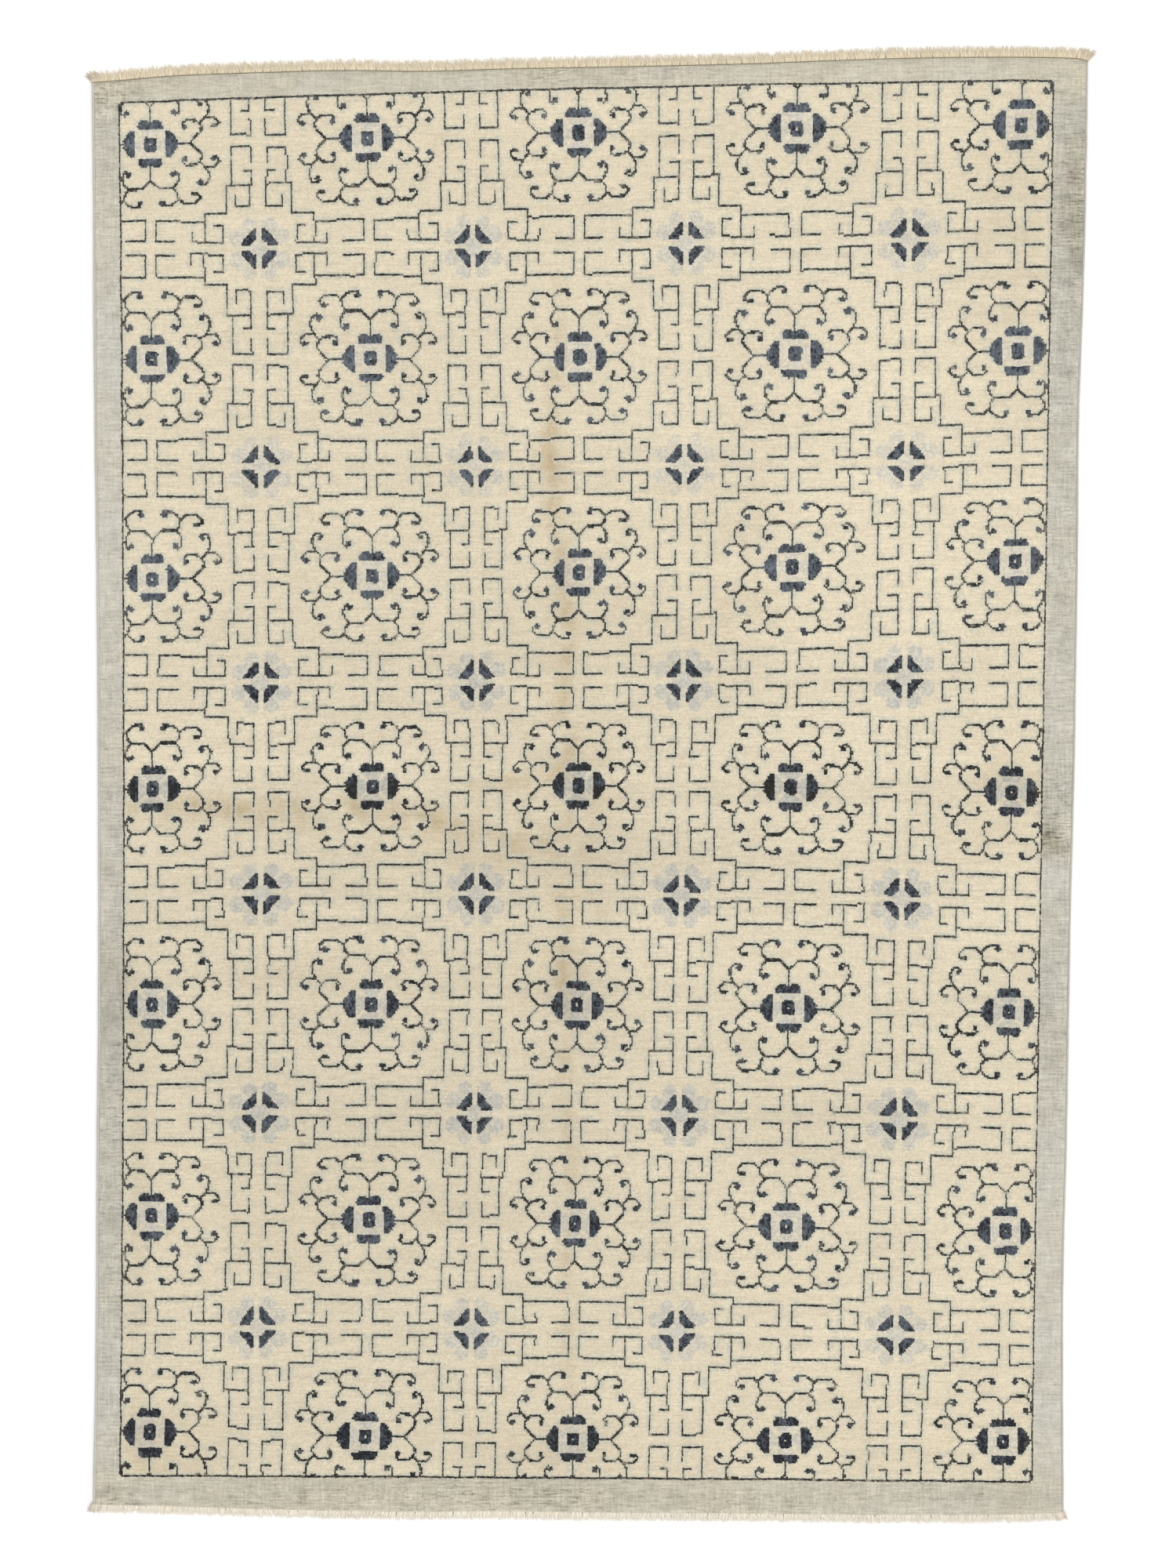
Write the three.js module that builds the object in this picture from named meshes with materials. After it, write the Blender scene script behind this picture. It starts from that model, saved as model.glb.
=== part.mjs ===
// A hand-knotted wool pile rug lying flat, with overcast side cords and a short cut fringe at each end.
// Millimetres, +X across the rug, +Y along it towards its upper end, +Z up. It lies on z = 0.
import * as THREE from 'three';

// Driving dimensions of the whole rug
const WIDTH = 1830; // outer edge to outer edge of the side cords, half-way along
const LENGTH = 2706; // pile, end to end along its middle
const THICKNESS = 9; // foundation and pile together
const GAP = 0.3; // between neighbouring pieces

// Overcast side cord: a flat-bottomed oval section
const CORD_WIDTH = 5.5;
const CORD_HEIGHT = 7;
const CORD_SIDES = 8;

// Fringe: locks of warp ends that stand out of a narrow woven strip
const STRIP_DEPTH = 3.5;
const STRIP_HEIGHT = 3.2;
const LOCKS_PER_END = 148;
const LOCK_ROOT_SHARE = 0.82; // of the pitch, at the strip
const LOCK_TIP_SHARE = 0.64;
const LOCK_BELLY_HEIGHT = 2.6; // half-way along a lock
const LOCK_TIP_HEIGHT = 1.5;
const BELLY_LEAN = 0.42; // share of the lean that a lock has half-way
const UNEVEN_LENGTH = 1.4; // how far one lock's length differs from the next
const UNEVEN_LEAN = 0.7;

// Steps round the outline
const STEPS_ACROSS = 36;
const STEPS_ALONG = 48;

// How far each side stands out from the nominal width, from the lower end to the upper end, in equal steps
const SIDES = [
  { left: 5, right: -16 },
  { left: 1, right: -17 },
  { left: -1, right: -16 },
  { left: -2, right: -10 },
  { left: -4, right: -6 },
  { left: -5, right: -2 },
  { left: -4, right: 4 },
  { left: -3, right: 8 },
  { left: -1, right: 11 },
  { left: 2, right: 13 },
  { left: 4, right: 21 },
  { left: 5, right: 27 },
  { left: 7, right: 30 },
];

// How far each end stands out from the nominal length, and how far its fringe leans to the right,
// from the left side to the right side, in equal steps
const ENDS = [
  { lower: -14, upper: -27, lowerLean: -4, upperLean: -4 },
  { lower: -11, upper: -15, lowerLean: 0, upperLean: -2 },
  { lower: -6.5, upper: -9, lowerLean: 1, upperLean: -7 },
  { lower: -3, upper: -5, lowerLean: -4, upperLean: -2 },
  { lower: -1, upper: -6.5, lowerLean: -3, upperLean: -6 },
  { lower: -2, upper: -2, lowerLean: 0, upperLean: -3 },
  { lower: 0, upper: 1, lowerLean: 0, upperLean: -1 },
  { lower: 1, upper: 4, lowerLean: 2, upperLean: -5 },
  { lower: 2, upper: 8, lowerLean: 1, upperLean: -5 },
  { lower: 4, upper: 14, lowerLean: 3, upperLean: -1 },
  { lower: 5, upper: 18.5, lowerLean: 3, upperLean: -4 },
  { lower: 5, upper: 20, lowerLean: 4, upperLean: -1 },
  { lower: 2, upper: 18.5, lowerLean: 3, upperLean: 2 },
];

// The two ends of the rug: which way its fringe points, how long the fringe is, and how far its
// outermost lock is splayed past each corner
const LOWER_END = { edge: 'lower', lean: 'lowerLean', outward: -1, length: 17, splay: { left: 8, right: 7 } };
const UPPER_END = { edge: 'upper', lean: 'upperLean', outward: 1, length: 21, splay: { left: 11, right: 13 } };
const SPLAYED_LOCKS = 3; // the splay dies away over about this many locks

// Rounding of the slab's rim, from its underside to its pile: how far each ring is drawn in, and its height
const RIM = [
  { inset: 1.2, height: 0 },
  { inset: 0, height: 1.2 },
  { inset: 0, height: 5.6 },
  { inset: 1.1, height: 7.8 },
  { inset: 3.2, height: THICKNESS },
];

// A column of a table, read at t from 0 to 1 through a smooth curve over its rows
function along(rows, column, t) {
  const place = t * (rows.length - 1);
  const i = Math.min(Math.floor(place), rows.length - 2);
  const s = place - i;
  const value = (k) => rows[Math.min(Math.max(k, 0), rows.length - 1)][column];
  const [a, b, c, d] = [value(i - 1), value(i), value(i + 1), value(i + 2)];
  return b + 0.5 * s * (c - a + s * (2 * a - 5 * b + 4 * c - d + s * (3 * (b - c) + d - a)));
}

const leftEdge = (v) => -WIDTH / 2 - along(SIDES, 'left', v);
const rightEdge = (v) => WIDTH / 2 + along(SIDES, 'right', v);
const endEdge = (end, u) => end.outward * (LENGTH / 2 + along(ENDS, end.edge, u));

// A point of the rug's plan: u runs from the left side to the right and v from the lower end to the
// upper, and the point stays sideInset and endInset inside the outline
function planPoint(u, v, sideInset = 0, endInset = 0) {
  const [left, right] = [leftEdge(v), rightEdge(v)];
  const x = THREE.MathUtils.clamp(THREE.MathUtils.lerp(left, right, u), left + sideInset, right - sideInset);
  const across = (x - left) / (right - left);
  const [lower, upper] = [endEdge(LOWER_END, across), endEdge(UPPER_END, across)];
  const y = THREE.MathUtils.clamp(THREE.MathUtils.lerp(lower, upper, v), lower + endInset, upper - endInset);
  return new THREE.Vector2(x, y);
}

// The rug's outline, anticlockwise from the lower left corner
function outline(sideInset, endInset) {
  const points = [];
  for (let i = 0; i < STEPS_ACROSS; i++) points.push(planPoint(i / STEPS_ACROSS, 0, sideInset, endInset));
  for (let i = 0; i < STEPS_ALONG; i++) points.push(planPoint(1, i / STEPS_ALONG, sideInset, endInset));
  for (let i = STEPS_ACROSS; i > 0; i--) points.push(planPoint(i / STEPS_ACROSS, 1, sideInset, endInset));
  for (let i = STEPS_ALONG; i > 0; i--) points.push(planPoint(0, i / STEPS_ALONG, sideInset, endInset));
  return points;
}

// Triangles that fill a flat ring, turning the same way as the ring does
function fill(ring) {
  const area = (face) => THREE.ShapeUtils.area(face.map((k) => ring[k]));
  const faces = THREE.ShapeUtils.triangulateShape(ring, []);
  const filled = faces.reduce((sum, face) => sum + area(face), 0);
  const sameTurn = Math.sign(filled) === Math.sign(THREE.ShapeUtils.area(ring));
  return sameTurn ? faces : faces.map((face) => face.reverse());
}

// A closed surface through rings of equal length, with a cap on the first and the last; capPlan gives
// the plane in which a ring's cap is filled, seen from the last ring's side
function loft(rings, capPlan) {
  const count = rings[0].length;
  const faces = [];
  for (let r = 0; r + 1 < rings.length; r++) {
    for (let i = 0; i < count; i++) {
      const a = r * count + i;
      const b = r * count + ((i + 1) % count);
      faces.push(a, b, b + count, a, b + count, a + count);
    }
  }
  const lastRing = (rings.length - 1) * count;
  for (const [a, b, c] of fill(rings[0].map(capPlan))) faces.push(c, b, a);
  for (const face of fill(rings.at(-1).map(capPlan))) faces.push(...face.map((k) => lastRing + k));
  const geometry = new THREE.BufferGeometry().setFromPoints(rings.flat());
  geometry.setIndex(faces);
  geometry.computeVertexNormals();
  return geometry;
}

const seenFromAbove = (p) => new THREE.Vector2(p.x, p.y);
const seenFromUpperEnd = (p) => new THREE.Vector2(-p.x, p.z);

// The knotted pile on its foundation, field and border in one: a slab with a rounded rim
function pileSlab() {
  const rings = RIM.map(({ inset, height }) =>
    outline(CORD_WIDTH + GAP + inset, inset).map((p) => new THREE.Vector3(p.x, p.y, height)));
  return loft(rings, seenFromAbove);
}

// The cord overcast along one side: an oval, flattened where it lies on the floor, carried along the edge
function sideCord(u) {
  const section = [];
  for (let i = 0; i < CORD_SIDES; i++) {
    const angle = ((i + 0.5) / CORD_SIDES) * 2 * Math.PI;
    const across = (CORD_WIDTH / 2) * (Math.cos(angle) / Math.cos(Math.PI / CORD_SIDES));
    const up = (CORD_HEIGHT / 2) * (1 + Math.sin(angle) / Math.cos(Math.PI / CORD_SIDES));
    section.push({ across, up });
  }
  const middle = (u === 0 ? 1 : -1) * (CORD_WIDTH / 2);
  const rings = [];
  for (let i = 0; i <= STEPS_ALONG; i++) {
    const edge = planPoint(u, i / STEPS_ALONG);
    rings.push(section.map(({ across, up }) => new THREE.Vector3(edge.x + middle - across, edge.y, up)));
  }
  return loft(rings, seenFromUpperEnd);
}

// A steady small unevenness from -1 to 1 for lock number i
const uneven = (i, pace) => Math.sin(i * pace) * 0.6 + Math.sin(i * pace * 2.7 + 1) * 0.4;

// The fringe of one end: a comb with tapered, leaning teeth, flat underneath, whose height falls from
// the strip to the tips
function fringe(end) {
  const edgeV = end.outward > 0 ? 1 : 0;
  const at = (u, reach, lean, height) => {
    const edge = planPoint(u, edgeV);
    return new THREE.Vector3(edge.x + lean, edge.y + end.outward * reach, height);
  };
  const comb = [];
  for (let i = 0; i <= STEPS_ACROSS; i++) comb.push(at(i / STEPS_ACROSS, GAP, 0, STRIP_HEIGHT));
  const root = GAP + STRIP_DEPTH;
  const halfRoot = LOCK_ROOT_SHARE / 2 / LOCKS_PER_END;
  const halfTip = LOCK_TIP_SHARE / 2 / LOCKS_PER_END;
  const halfBelly = (halfRoot + halfTip) / 2;
  for (let i = LOCKS_PER_END - 1; i >= 0; i--) {
    const middle = (i + 0.5) / LOCKS_PER_END;
    const length = end.length + UNEVEN_LENGTH * uneven(i, 1.9);
    const splay = end.splay.right * Math.exp((i - LOCKS_PER_END + 1) / SPLAYED_LOCKS)
      - end.splay.left * Math.exp(-i / SPLAYED_LOCKS);
    const lean = along(ENDS, end.lean, middle) + splay + UNEVEN_LEAN * uneven(i, 2.3);
    const belly = [(root + length) / 2, lean * BELLY_LEAN, LOCK_BELLY_HEIGHT];
    comb.push(at(middle + halfRoot, root, 0, STRIP_HEIGHT), at(middle + halfBelly, ...belly));
    comb.push(at(middle + halfTip, length, lean, LOCK_TIP_HEIGHT));
    comb.push(at(middle - halfTip, length, lean, LOCK_TIP_HEIGHT));
    comb.push(at(middle - halfBelly, ...belly), at(middle - halfRoot, root, 0, STRIP_HEIGHT));
  }
  if (end.outward < 0) comb.reverse();
  const underside = comb.map((p) => new THREE.Vector3(p.x, p.y, 0));
  return loft([underside, comb], seenFromAbove);
}

const ivoryPile = new THREE.MeshStandardMaterial({ color: 0xe0d3b5, roughness: 0.95, metalness: 0 });
const greyWool = new THREE.MeshStandardMaterial({ color: 0xc5c2b4, roughness: 0.95, metalness: 0 });
const creamCotton = new THREE.MeshStandardMaterial({ color: 0xe4d8bf, roughness: 0.9, metalness: 0 });

function piece(name, geometry, material) {
  const mesh = new THREE.Mesh(geometry, material);
  mesh.name = name;
  return mesh;
}

const rug = new THREE.Group();
rug.add(
  piece('rug_body', pileSlab(), ivoryPile),
  piece('selvage_left', sideCord(0), greyWool),
  piece('selvage_right', sideCord(1), greyWool.clone()),
  piece('fringe_lower', fringe(LOWER_END), creamCotton),
  piece('fringe_upper', fringe(UPPER_END), creamCotton.clone()),
);

// The origin is the centre of the whole rug's box, on the floor
const box = new THREE.Box3().setFromObject(rug);
const centre = box.getCenter(new THREE.Vector3());
for (const mesh of rug.children) mesh.position.set(-centre.x, -centre.y, -box.min.z);

export default rug;
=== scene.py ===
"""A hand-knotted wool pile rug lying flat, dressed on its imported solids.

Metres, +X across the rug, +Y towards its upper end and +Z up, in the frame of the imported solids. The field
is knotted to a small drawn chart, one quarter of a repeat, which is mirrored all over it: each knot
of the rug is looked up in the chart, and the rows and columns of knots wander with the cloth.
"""

import bpy
import numpy as np
from bpy.props import FloatProperty, FloatVectorProperty, IntProperty, PointerProperty
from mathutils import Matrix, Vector


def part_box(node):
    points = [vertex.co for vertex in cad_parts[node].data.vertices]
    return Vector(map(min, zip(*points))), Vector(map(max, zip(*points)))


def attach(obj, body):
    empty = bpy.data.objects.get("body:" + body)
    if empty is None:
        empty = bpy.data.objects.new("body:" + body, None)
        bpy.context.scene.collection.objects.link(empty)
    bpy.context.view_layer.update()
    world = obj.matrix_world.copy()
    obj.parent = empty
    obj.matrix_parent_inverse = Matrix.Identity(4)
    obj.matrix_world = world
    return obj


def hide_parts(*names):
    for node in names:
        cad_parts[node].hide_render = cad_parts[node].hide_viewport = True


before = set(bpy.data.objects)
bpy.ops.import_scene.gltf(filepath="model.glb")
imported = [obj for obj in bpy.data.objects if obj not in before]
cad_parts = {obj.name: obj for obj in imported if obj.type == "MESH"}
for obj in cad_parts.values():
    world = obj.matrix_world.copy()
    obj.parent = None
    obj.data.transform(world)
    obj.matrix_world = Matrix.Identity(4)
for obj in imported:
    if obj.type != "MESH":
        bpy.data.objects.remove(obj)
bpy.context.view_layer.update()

bl_info = {
    "name": "Knotted rug",
    "version": (1, 0, 0),
    "blender": (4, 5, 0),
    "location": "View3D > Sidebar > Rug",
    "description": "Dresses a flat knotted rug: charted pile, overcast side cords and cut fringes",
    "category": "Add Mesh",
}

MM = 0.001
SEED = 46

# Stage: half the floor's side, which way the sun's light falls, and how wide its disc is
FLOOR_REACH = 14.0
SUN_FALL = (-0.45, 0.55, -1.0)
SUN_SPREAD = np.radians(50)

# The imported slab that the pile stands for
BODY_LOW, BODY_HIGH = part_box("rug_body")

# Outline of the whole rug, as its solids have it: nominal size, how many corners the solid has along a side
# and along an end, and how far in millimetres each side stands out from the nominal size, from the lower
# end to the upper, and each end, from the left side to the right
WIDTH = 1.830
LENGTH = 2.706
SIDE_CORNERS = 49
END_CORNERS = 37
SIDES = {
    "left": (5, 1, -1, -2, -4, -5, -4, -3, -1, 2, 4, 5, 7),
    "right": (-16, -17, -16, -10, -6, -2, 4, 8, 11, 13, 21, 27, 30),
}
ENDS = {
    "lower": (-14, -11, -6.5, -3, -1, -2, 0, 1, 2, 4, 5, 5, 2),
    "upper": (-27, -15, -9, -5, -6.5, -2, 1, 4, 8, 14, 18.5, 20, 18.5),
}

# How far in millimetres the warp ends lean to the right, along each end from the left side
LEANS = {
    "lower": (-4, 0, 1, -4, -3, 0, 0, 2, 1, 3, 3, 4, 3),
    "upper": (-4, -2, -7, -2, -6, -3, -1, -5, -5, -1, -4, -1, 2),
}

# How far in millimetres the outermost warp ends splay at the left corner and at the right corner, and over
# how many tufts the splay dies out
SPLAYS = {"lower": (8, 4), "upper": (10, 14)}
SPLAY_REACH = 1.4

# How far in millimetres each end draws back at its left corner and at its right corner, and from how near
CORNER_DROPS = {"lower": (1.5, 3), "upper": (0.5, 6)}
DROP_REACH = 14 * MM

# Side cords: their section, how many sides it has, rings to a turn of yarn, how far a turn climbs in one
# round as a share of the pitch, how full the section is, how uneven, and how far the cord drifts sideways
CORD_WIDTH = 5.5 * MM
CORD_HEIGHT = 7.0 * MM
CORD_SIDES = 12
RINGS_A_TURN = 3.4
WRAP_SLANT = 0.8
CORD_FULLNESS = 0.93
CORD_UNEVENNESS = 0.05
CORD_DRIFT = 0.3 * MM
GAP = 0.3 * MM
SIDE_INSET = CORD_WIDTH + GAP

# Fringes: how far out from the end a strand starts and how high, the places of the coarse tufts at a corner
# in tufts from it, and where a strand's rings stand along its reach and how thick each is
FRINGE_ROOTS = {"lower": (-0.8 * MM, 6.4 * MM), "upper": (1.2 * MM, 4.0 * MM)}
CORNER_TUFTS = (0.2, 1.0, 1.8)
STRAND_STEPS = (0.04, 0.34, 0.68, 0.92)
STRAND_TAPER = (0.9, 1, 0.85, 0.5)

# Section of the woven strip in millimetres: how far out from the end each corner lies, and how high
STRIP_SECTION = (
    (0.3, 0.5), (0.3, 3.6), (0.8, 4.6), (1.8, 4.4), (2.6, 3.2), (2.8, 0.6), (2.4, 0.05), (0.9, 0.05),
)

# From one of its threads to the next, across the rug and along it
STRIP_THREADS = (1.7 * MM, 1.2 * MM)

# What each band of a tube leaves free at the two sides of its cell in the bake map, as a share
CELL_MARGIN = 0.03

# Where the warmer grey of the border's two ends begins, along the rug from its middle
END_BORDER = 1.265

# How far the pile's sides lie in under the cords
SIDE_OVERLAP = 1.3 * MM

# Rounding of the slab's rim, from the underside to the pile: how far a ring is drawn in, and its height
RIM = ((1.2 * MM, 0.0), (0.0, 1.2 * MM), (0.0, 5.6 * MM), (0.8 * MM, 8.0 * MM), (2.4 * MM, BODY_HIGH[2]))

# How much painted light lightens the left rim, where the sun leaves it in shade: how much of it the wool has
# on the pile, on the underside and on the rim itself
LEFT_RIM_PAINTED_LIGHT = (0.35, 0, 1)

# Knots of the whole pile, across and along, and how many of them one face of the mesh holds each way. A face
# also knows one ring of neighbour knots, and keeps what it knows in two numbers, one for each half of the
# rows. The cloth's sway dies out over the still knots along the rim.
KNOTS_ACROSS = 540
KNOTS_ALONG = 812
KNOTS_A_FACE = 4
KNOWN_KNOTS = KNOTS_A_FACE + 2
HALF_ROWS = KNOWN_KNOTS // 2
STILL_KNOTS = 12

# Knots of the chart: from one blossom's middle to the next cross's middle, and the places of the first
# blossom column, the first blossom row and the guard line
HALF_ACROSS = 60
HALF_ALONG = 61
FIRST_COLUMN = 28
FIRST_ROW = 42
GUARD = {"left": 11, "right": 525, "lower": 19, "upper": 798}

# Knots over which a copy's wander changes, and which share of the ground knots in the second ring round
# dark wool is tinted
WANDER_KNOTS = 17
TINTED_SHARE = 0.4

# Where the chart's middle lines lie on the cloth, in millimetres from the nominal middle. The columns are
# given at the lower end, the middle and the upper end, and the rows at the left, the middle and the right.
COLUMN_STATIONS = (-1216, 8, 1234)
COLUMN_LINES = (
    (-868, -862, -870),
    (-814, -809, -813),
    (-617, -605, -611),
    (-410, -396, -406),
    (-215, -201, -212),
    (-21, -11, -10),
    (170, 184, 191),
    (377, 386, 399),
    (581, 598, 611),
    (785, 801, 819),
    (839, 858, 877),
)
ROW_STATIONS = (-813, -6, 801)
ROW_LINES = (
    (-1284, -1288, -1295),
    (-1200, -1216, -1218),
    (-1008, -1010, -1027),
    (-797, -812, -826),
    (-605, -606, -620),
    (-400, -404, -417),
    (-194, -194, -209),
    (2, 9, -4),
    (202, 205, 216),
    (396, 409, 431),
    (605, 607, 620),
    (806, 811, 822),
    (1015, 1021, 1035),
    (1210, 1232, 1247),
    (1290, 1315, 1329),
)

# How many times a crossing of two of these is found anew
CROSSING_ROUNDS = 4

# The chart, in knots from a blossom's middle: stems, vines, the dots that end them, and the petals
STEMS = (((0, 13), (0, 21.3)), ((15, 0), (22.4, 0)))
VINES = (
    ((0, 21.3), (4.8, 26.3), (12.6, 26.4), (15.2, 23.6), (15.9, 20.5), (15.5, 17.6), (13.8, 16.4)),
    ((12.6, 26.4), (14.6, 28.8), (15.4, 32.5), (18.2, 34.9), (25, 35), (27.6, 32.2), (27.4, 30.2)),
    ((15.4, 32.5), (13.2, 35.2), (10.6, 36.7), (6, 36.8)),
    ((22.4, 0), (28.3, 6.2), (28.6, 9), (27.3, 10.8), (25.3, 12.6), (19.6, 13), (17.7, 11.2)),
    ((27.3, 10.8), (30.4, 14.2), (35.4, 13.8), (38, 11), (37.4, 9.4)),
    ((30.4, 14.2), (32.2, 17.6), (32.4, 20.8), (31, 23.6), (28.4, 24.6), (26.3, 23.2)),
)
VINE_DOTS = (
    (12.6, 18.0, 1.6, 1.5),
    (24.9, 29.7, 2.2, 1.2),
    (6.3, 34.9, 1.8, 1.4),
    (18.9, 9.3, 1.3, 1.7),
    (35.4, 9.0, 2.0, 1.2),
    (27.8, 22.2, 1.7, 1.2),
)
END_PETAL = (
    (0, 8.6), (6.9, 8.6), (7.2, 10.4), (6.4, 12.0), (5.2, 13.3), (2.2, 13.5), (1.2, 12.8), (0, 12.8),
)
SIDE_PETAL = (
    (8.5, 0), (8.5, 7.4), (11.1, 7.6), (12.3, 6.3), (13.2, 5.4), (13.9, 4.1), (14.7, 3.1), (15.4, 2.0),
    (14.9, 0),
)

# Its blocks with a cut corner: how far each reaches across and along, and where its corner is cut. The
# square round the middle block is parted slantwise, and the middle block has a round eye.
BLOCK = (3.6, 4.1, 6.3)
SQUARE = (8.7, 8.7, 15.4)
PARTING = 1.3
EYE = 0.75

# The chart, in knots from a cross's middle: the angular frets, and the lobes of the small flower
FRETS = (
    ((12.8, 29.8), (12.8, 23.4), (4.3, 23.4), (4.3, 44), (8.7, 44)),
    ((4.3, 36.3), (17.9, 36.3), (17.9, 20), (30.3, 20), (30.3, 3.5)),
    ((15, 36.3), (15, 57.6), (4.3, 57.6), (4.3, 49.5)),
    ((37.2, 8.8), (37.2, 3.5), (20.4, 3.5), (20.4, 13), (24.8, 13)),
    ((30.3, 15.6), (56.8, 15.6), (56.8, 3.9), (46.4, 3.9)),
)
CLOUD_LOBES = ((5.4, 13.0, 4.4), (12.2, 6.4, 4.7))

# Blocks round the cross, each with the slope at which its corner is cut: a slanted petal, where the petal
# starts and its two hollows, round and straight, the flower's pale cloud, its eye and the channel in it
PETAL = (10.2, 11.6, 15.2, 1.2)
PETAL_START = (1.6, 1.9)
PETAL_HOLLOWS = (4.85, 6.4)
CLOUD = (10.2, 12.0, 16.8, 1.2)
CLOUD_EYE = (5.3, 4.8)
CHANNEL = 1.5

# Blossoms whose block has no pale eye: column from the left and row from the lower end, from 0
EYELESS = ((2, 6), (2, 5), (3, 5), (4, 5), (2, 3), (3, 3))

# Fold marks, as corners of lines in millimetres of the frame: one along the rug and two across it
FOLDS = (
    (
        (-56, 943), (-60, 811), (-73, 679), (-78, 591), (-66, 488), (-45, 355), (-42, 252), (-45, 150),
        (-36, 61), (-31, -56), (-45, -174), (-54, -380), (-45, -585), (-38, -733), (-45, -909), (-36, -1247),
    ),
    (
        (-864, -36), (-739, -33), (-621, -46), (-489, -30), (-372, -42), (-305, -59), (-225, -89),
        (-136, -112), (-16, -124),
    ),
    ((-225, 0), (-136, 8), (-41, 25)),
)

# Soft spots: the middle in millimetres of the frame, how far it reaches each way, and how deep it is. The
# first are tan stains.
STAINS = (
    (-70, 590, 30, 90, 0.60),
    (-52, 330, 26, 200, 0.45),
    (-30, -20, 80, 150, 0.45),
    (-190, -112, 140, 40, 0.65),
    (-560, -44, 330, 24, 0.45),
    (-520, -68, 270, 26, 0.32),
    (-50, -330, 100, 170, 0.28),
    (60, 300, 300, 60, 0.22),
    (180, 540, 90, 70, 0.20),
    (280, 400, 60, 200, 0.18),
    (-800, -1262, 90, 80, 1.0),
    (-460, -360, 420, 40, 0.18),
    (-500, -800, 300, 90, 0.20),
    (0, 1180, 900, 60, 0.12),
    (800, 1010, 90, 240, 0.25),
    (-60, -1240, 320, 60, 0.22),
    (600, -1240, 330, 60, 0.18),
    (780, -90, 120, 60, 0.30),
    (792, 2, 60, 45, 0.90),
)

# Broad stretches where the whole pile is dingier, or lighter where the depth is less than nothing
DINGY = (
    (-342, -659, 650, 750, 0.85),
    (-620, -218, 350, 260, 0.25),
    (-400, -627, 300, 50, 0.35),
    (463, -627, 350, 50, 0.45),
    (510, 200, 370, 36, 0.40),
    (-445, 223, 330, 75, 0.30),
    (-78, -135, 400, 55, 0.35),
    (363, -145, 350, 60, 0.25),
    (-636, -358, 250, 28, 0.35),
    (305, 517, 70, 280, 0.35),
    (790, 1061, 80, 200, 0.40),
    (-519, -1240, 500, 60, 0.35),
    (-78, -1247, 120, 60, 0.40),
    (-519, 1083, 330, 36, 0.20),
    (-500, 700, 500, 700, 0.25),
    (-4, -291, 80, 900, 0.15),
    (510, 517, 330, 420, -0.46),
    (-850, -825, 24, 430, 0.80),
    (-888, -400, 45, 110, 1.35),
    (-92, 315, 170, 110, 0.22),
    (240, 232, 120, 110, 0.28),
    (490, -15, 400, 26, 0.80),
    (-42, -380, 60, 70, 0.75),
    (-92, -644, 30, 90, 0.30),
    (437, -677, 120, 80, 0.30),
    (768, -428, 60, 50, 0.60),
    (-836, -777, 30, 60, 0.35),
    (868, -640, 40, 130, 0.30),
    (868, -190, 40, 200, 0.22),
    (882, 752, 40, 70, 0.28),
    (530, 1340, 330, 26, -0.25),
    (-400, -1335, 260, 22, -0.22),
    (560, -1335, 200, 22, -0.22),
    (850, -1338, 130, 40, 0.75),
    (700, -1354, 200, 14, 0.40),
    (30, 60, 260, 420, 0.20),
    (-621, 54, 330, 32, -0.40),
    (128, -277, 180, 50, -0.35),
    (-621, -291, 300, 24, -0.25),
)

# Dull, rubbed stretches of the border
RUBBED = (
    (-900, 1292, 60, 50, 1.3),
    (-870, 1120, 60, 200, 0.40),
    (-900, -1340, 60, 40, 1.2),
    (-880, -700, 70, 420, 0.70),
    (-880, 30, 60, 260, 0.35),
    (918, 1090, 52, 190, 1.6),
    (895, 500, 60, 450, 0.5),
    (862, -105, 45, 22, 2.4),
    (880, -40, 60, 80, 1.0),
    (870, -420, 60, 180, 0.6),
    (-75, 1335, 45, 22, 1.4),
    (120, 1330, 160, 24, 0.4),
    (-300, -1325, 330, 36, 0.8),
    (-560, -1340, 160, 22, 0.6),
    (-60, -1335, 160, 30, 0.8),
    (300, -1345, 160, 24, 0.6),
    (640, -1330, 200, 26, 0.4),
)

# Where the dye has turned brown
BROWNED = (
    (0, -8, 900, 22, 0.9),
    (-10, 0, 60, 60, 0.6),
    (400, 0, 60, 40, 0.5),
)
SPOT_TABLES = {"soil": STAINS, "dingy": DINGY, "rubbed": RUBBED, "browned": BROWNED}

# Depth of the navy dye from the lowest row of the chart to the uppermost, blossoms and crosses in turn, from
# slate grey 0 to near black 1
NAVY_DEPTHS = (0.95, 0.22, 0.40, 0.35, 0.45, 0.40, 0.80, 0.42, 0.08, 0.05, 0.0, 0.32, 0.05)

# How strong the pale blue-grey wool is, in the same order
PALE_DEPTHS = (0.32, 0.32, 0.32, 0.45, 0.50, 0.42, 0.72, 0.42, 0.20, 0.16, 0.14, 0.28, 0.22)


def read_table(values, place):
    """A table of equal steps read at a place from 0 to 1, through a smooth cubic over its neighbours."""
    rows = np.asarray(values, float)
    last = len(rows) - 1
    step = np.asarray(place, float) * last
    i = np.clip(np.floor(step).astype(int), 0, last - 1)
    s = step - i
    a, b, c, d = (rows[np.clip(i + k, 0, last)] for k in (-1, 0, 1, 2))
    return b + 0.5 * s * (c - a + s * (2 * a - 5 * b + 4 * c - d + s * (3 * (b - c) + d - a)))


def nominal_middle():
    """The nominal middle of the outline in the frame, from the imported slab's lowest corner.

    The slab's lowest x and y are the least of its drawn left side and lower end, moved by the middle.
    """
    left = -WIDTH / 2 - read_table(SIDES["left"], np.linspace(0, 1, SIDE_CORNERS)) * MM
    lower = -LENGTH / 2 - read_table(ENDS["lower"], np.linspace(0, 1, END_CORNERS)) * MM
    return BODY_LOW[0] - (left.min() + SIDE_INSET), BODY_LOW[1] - lower.min()


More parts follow.
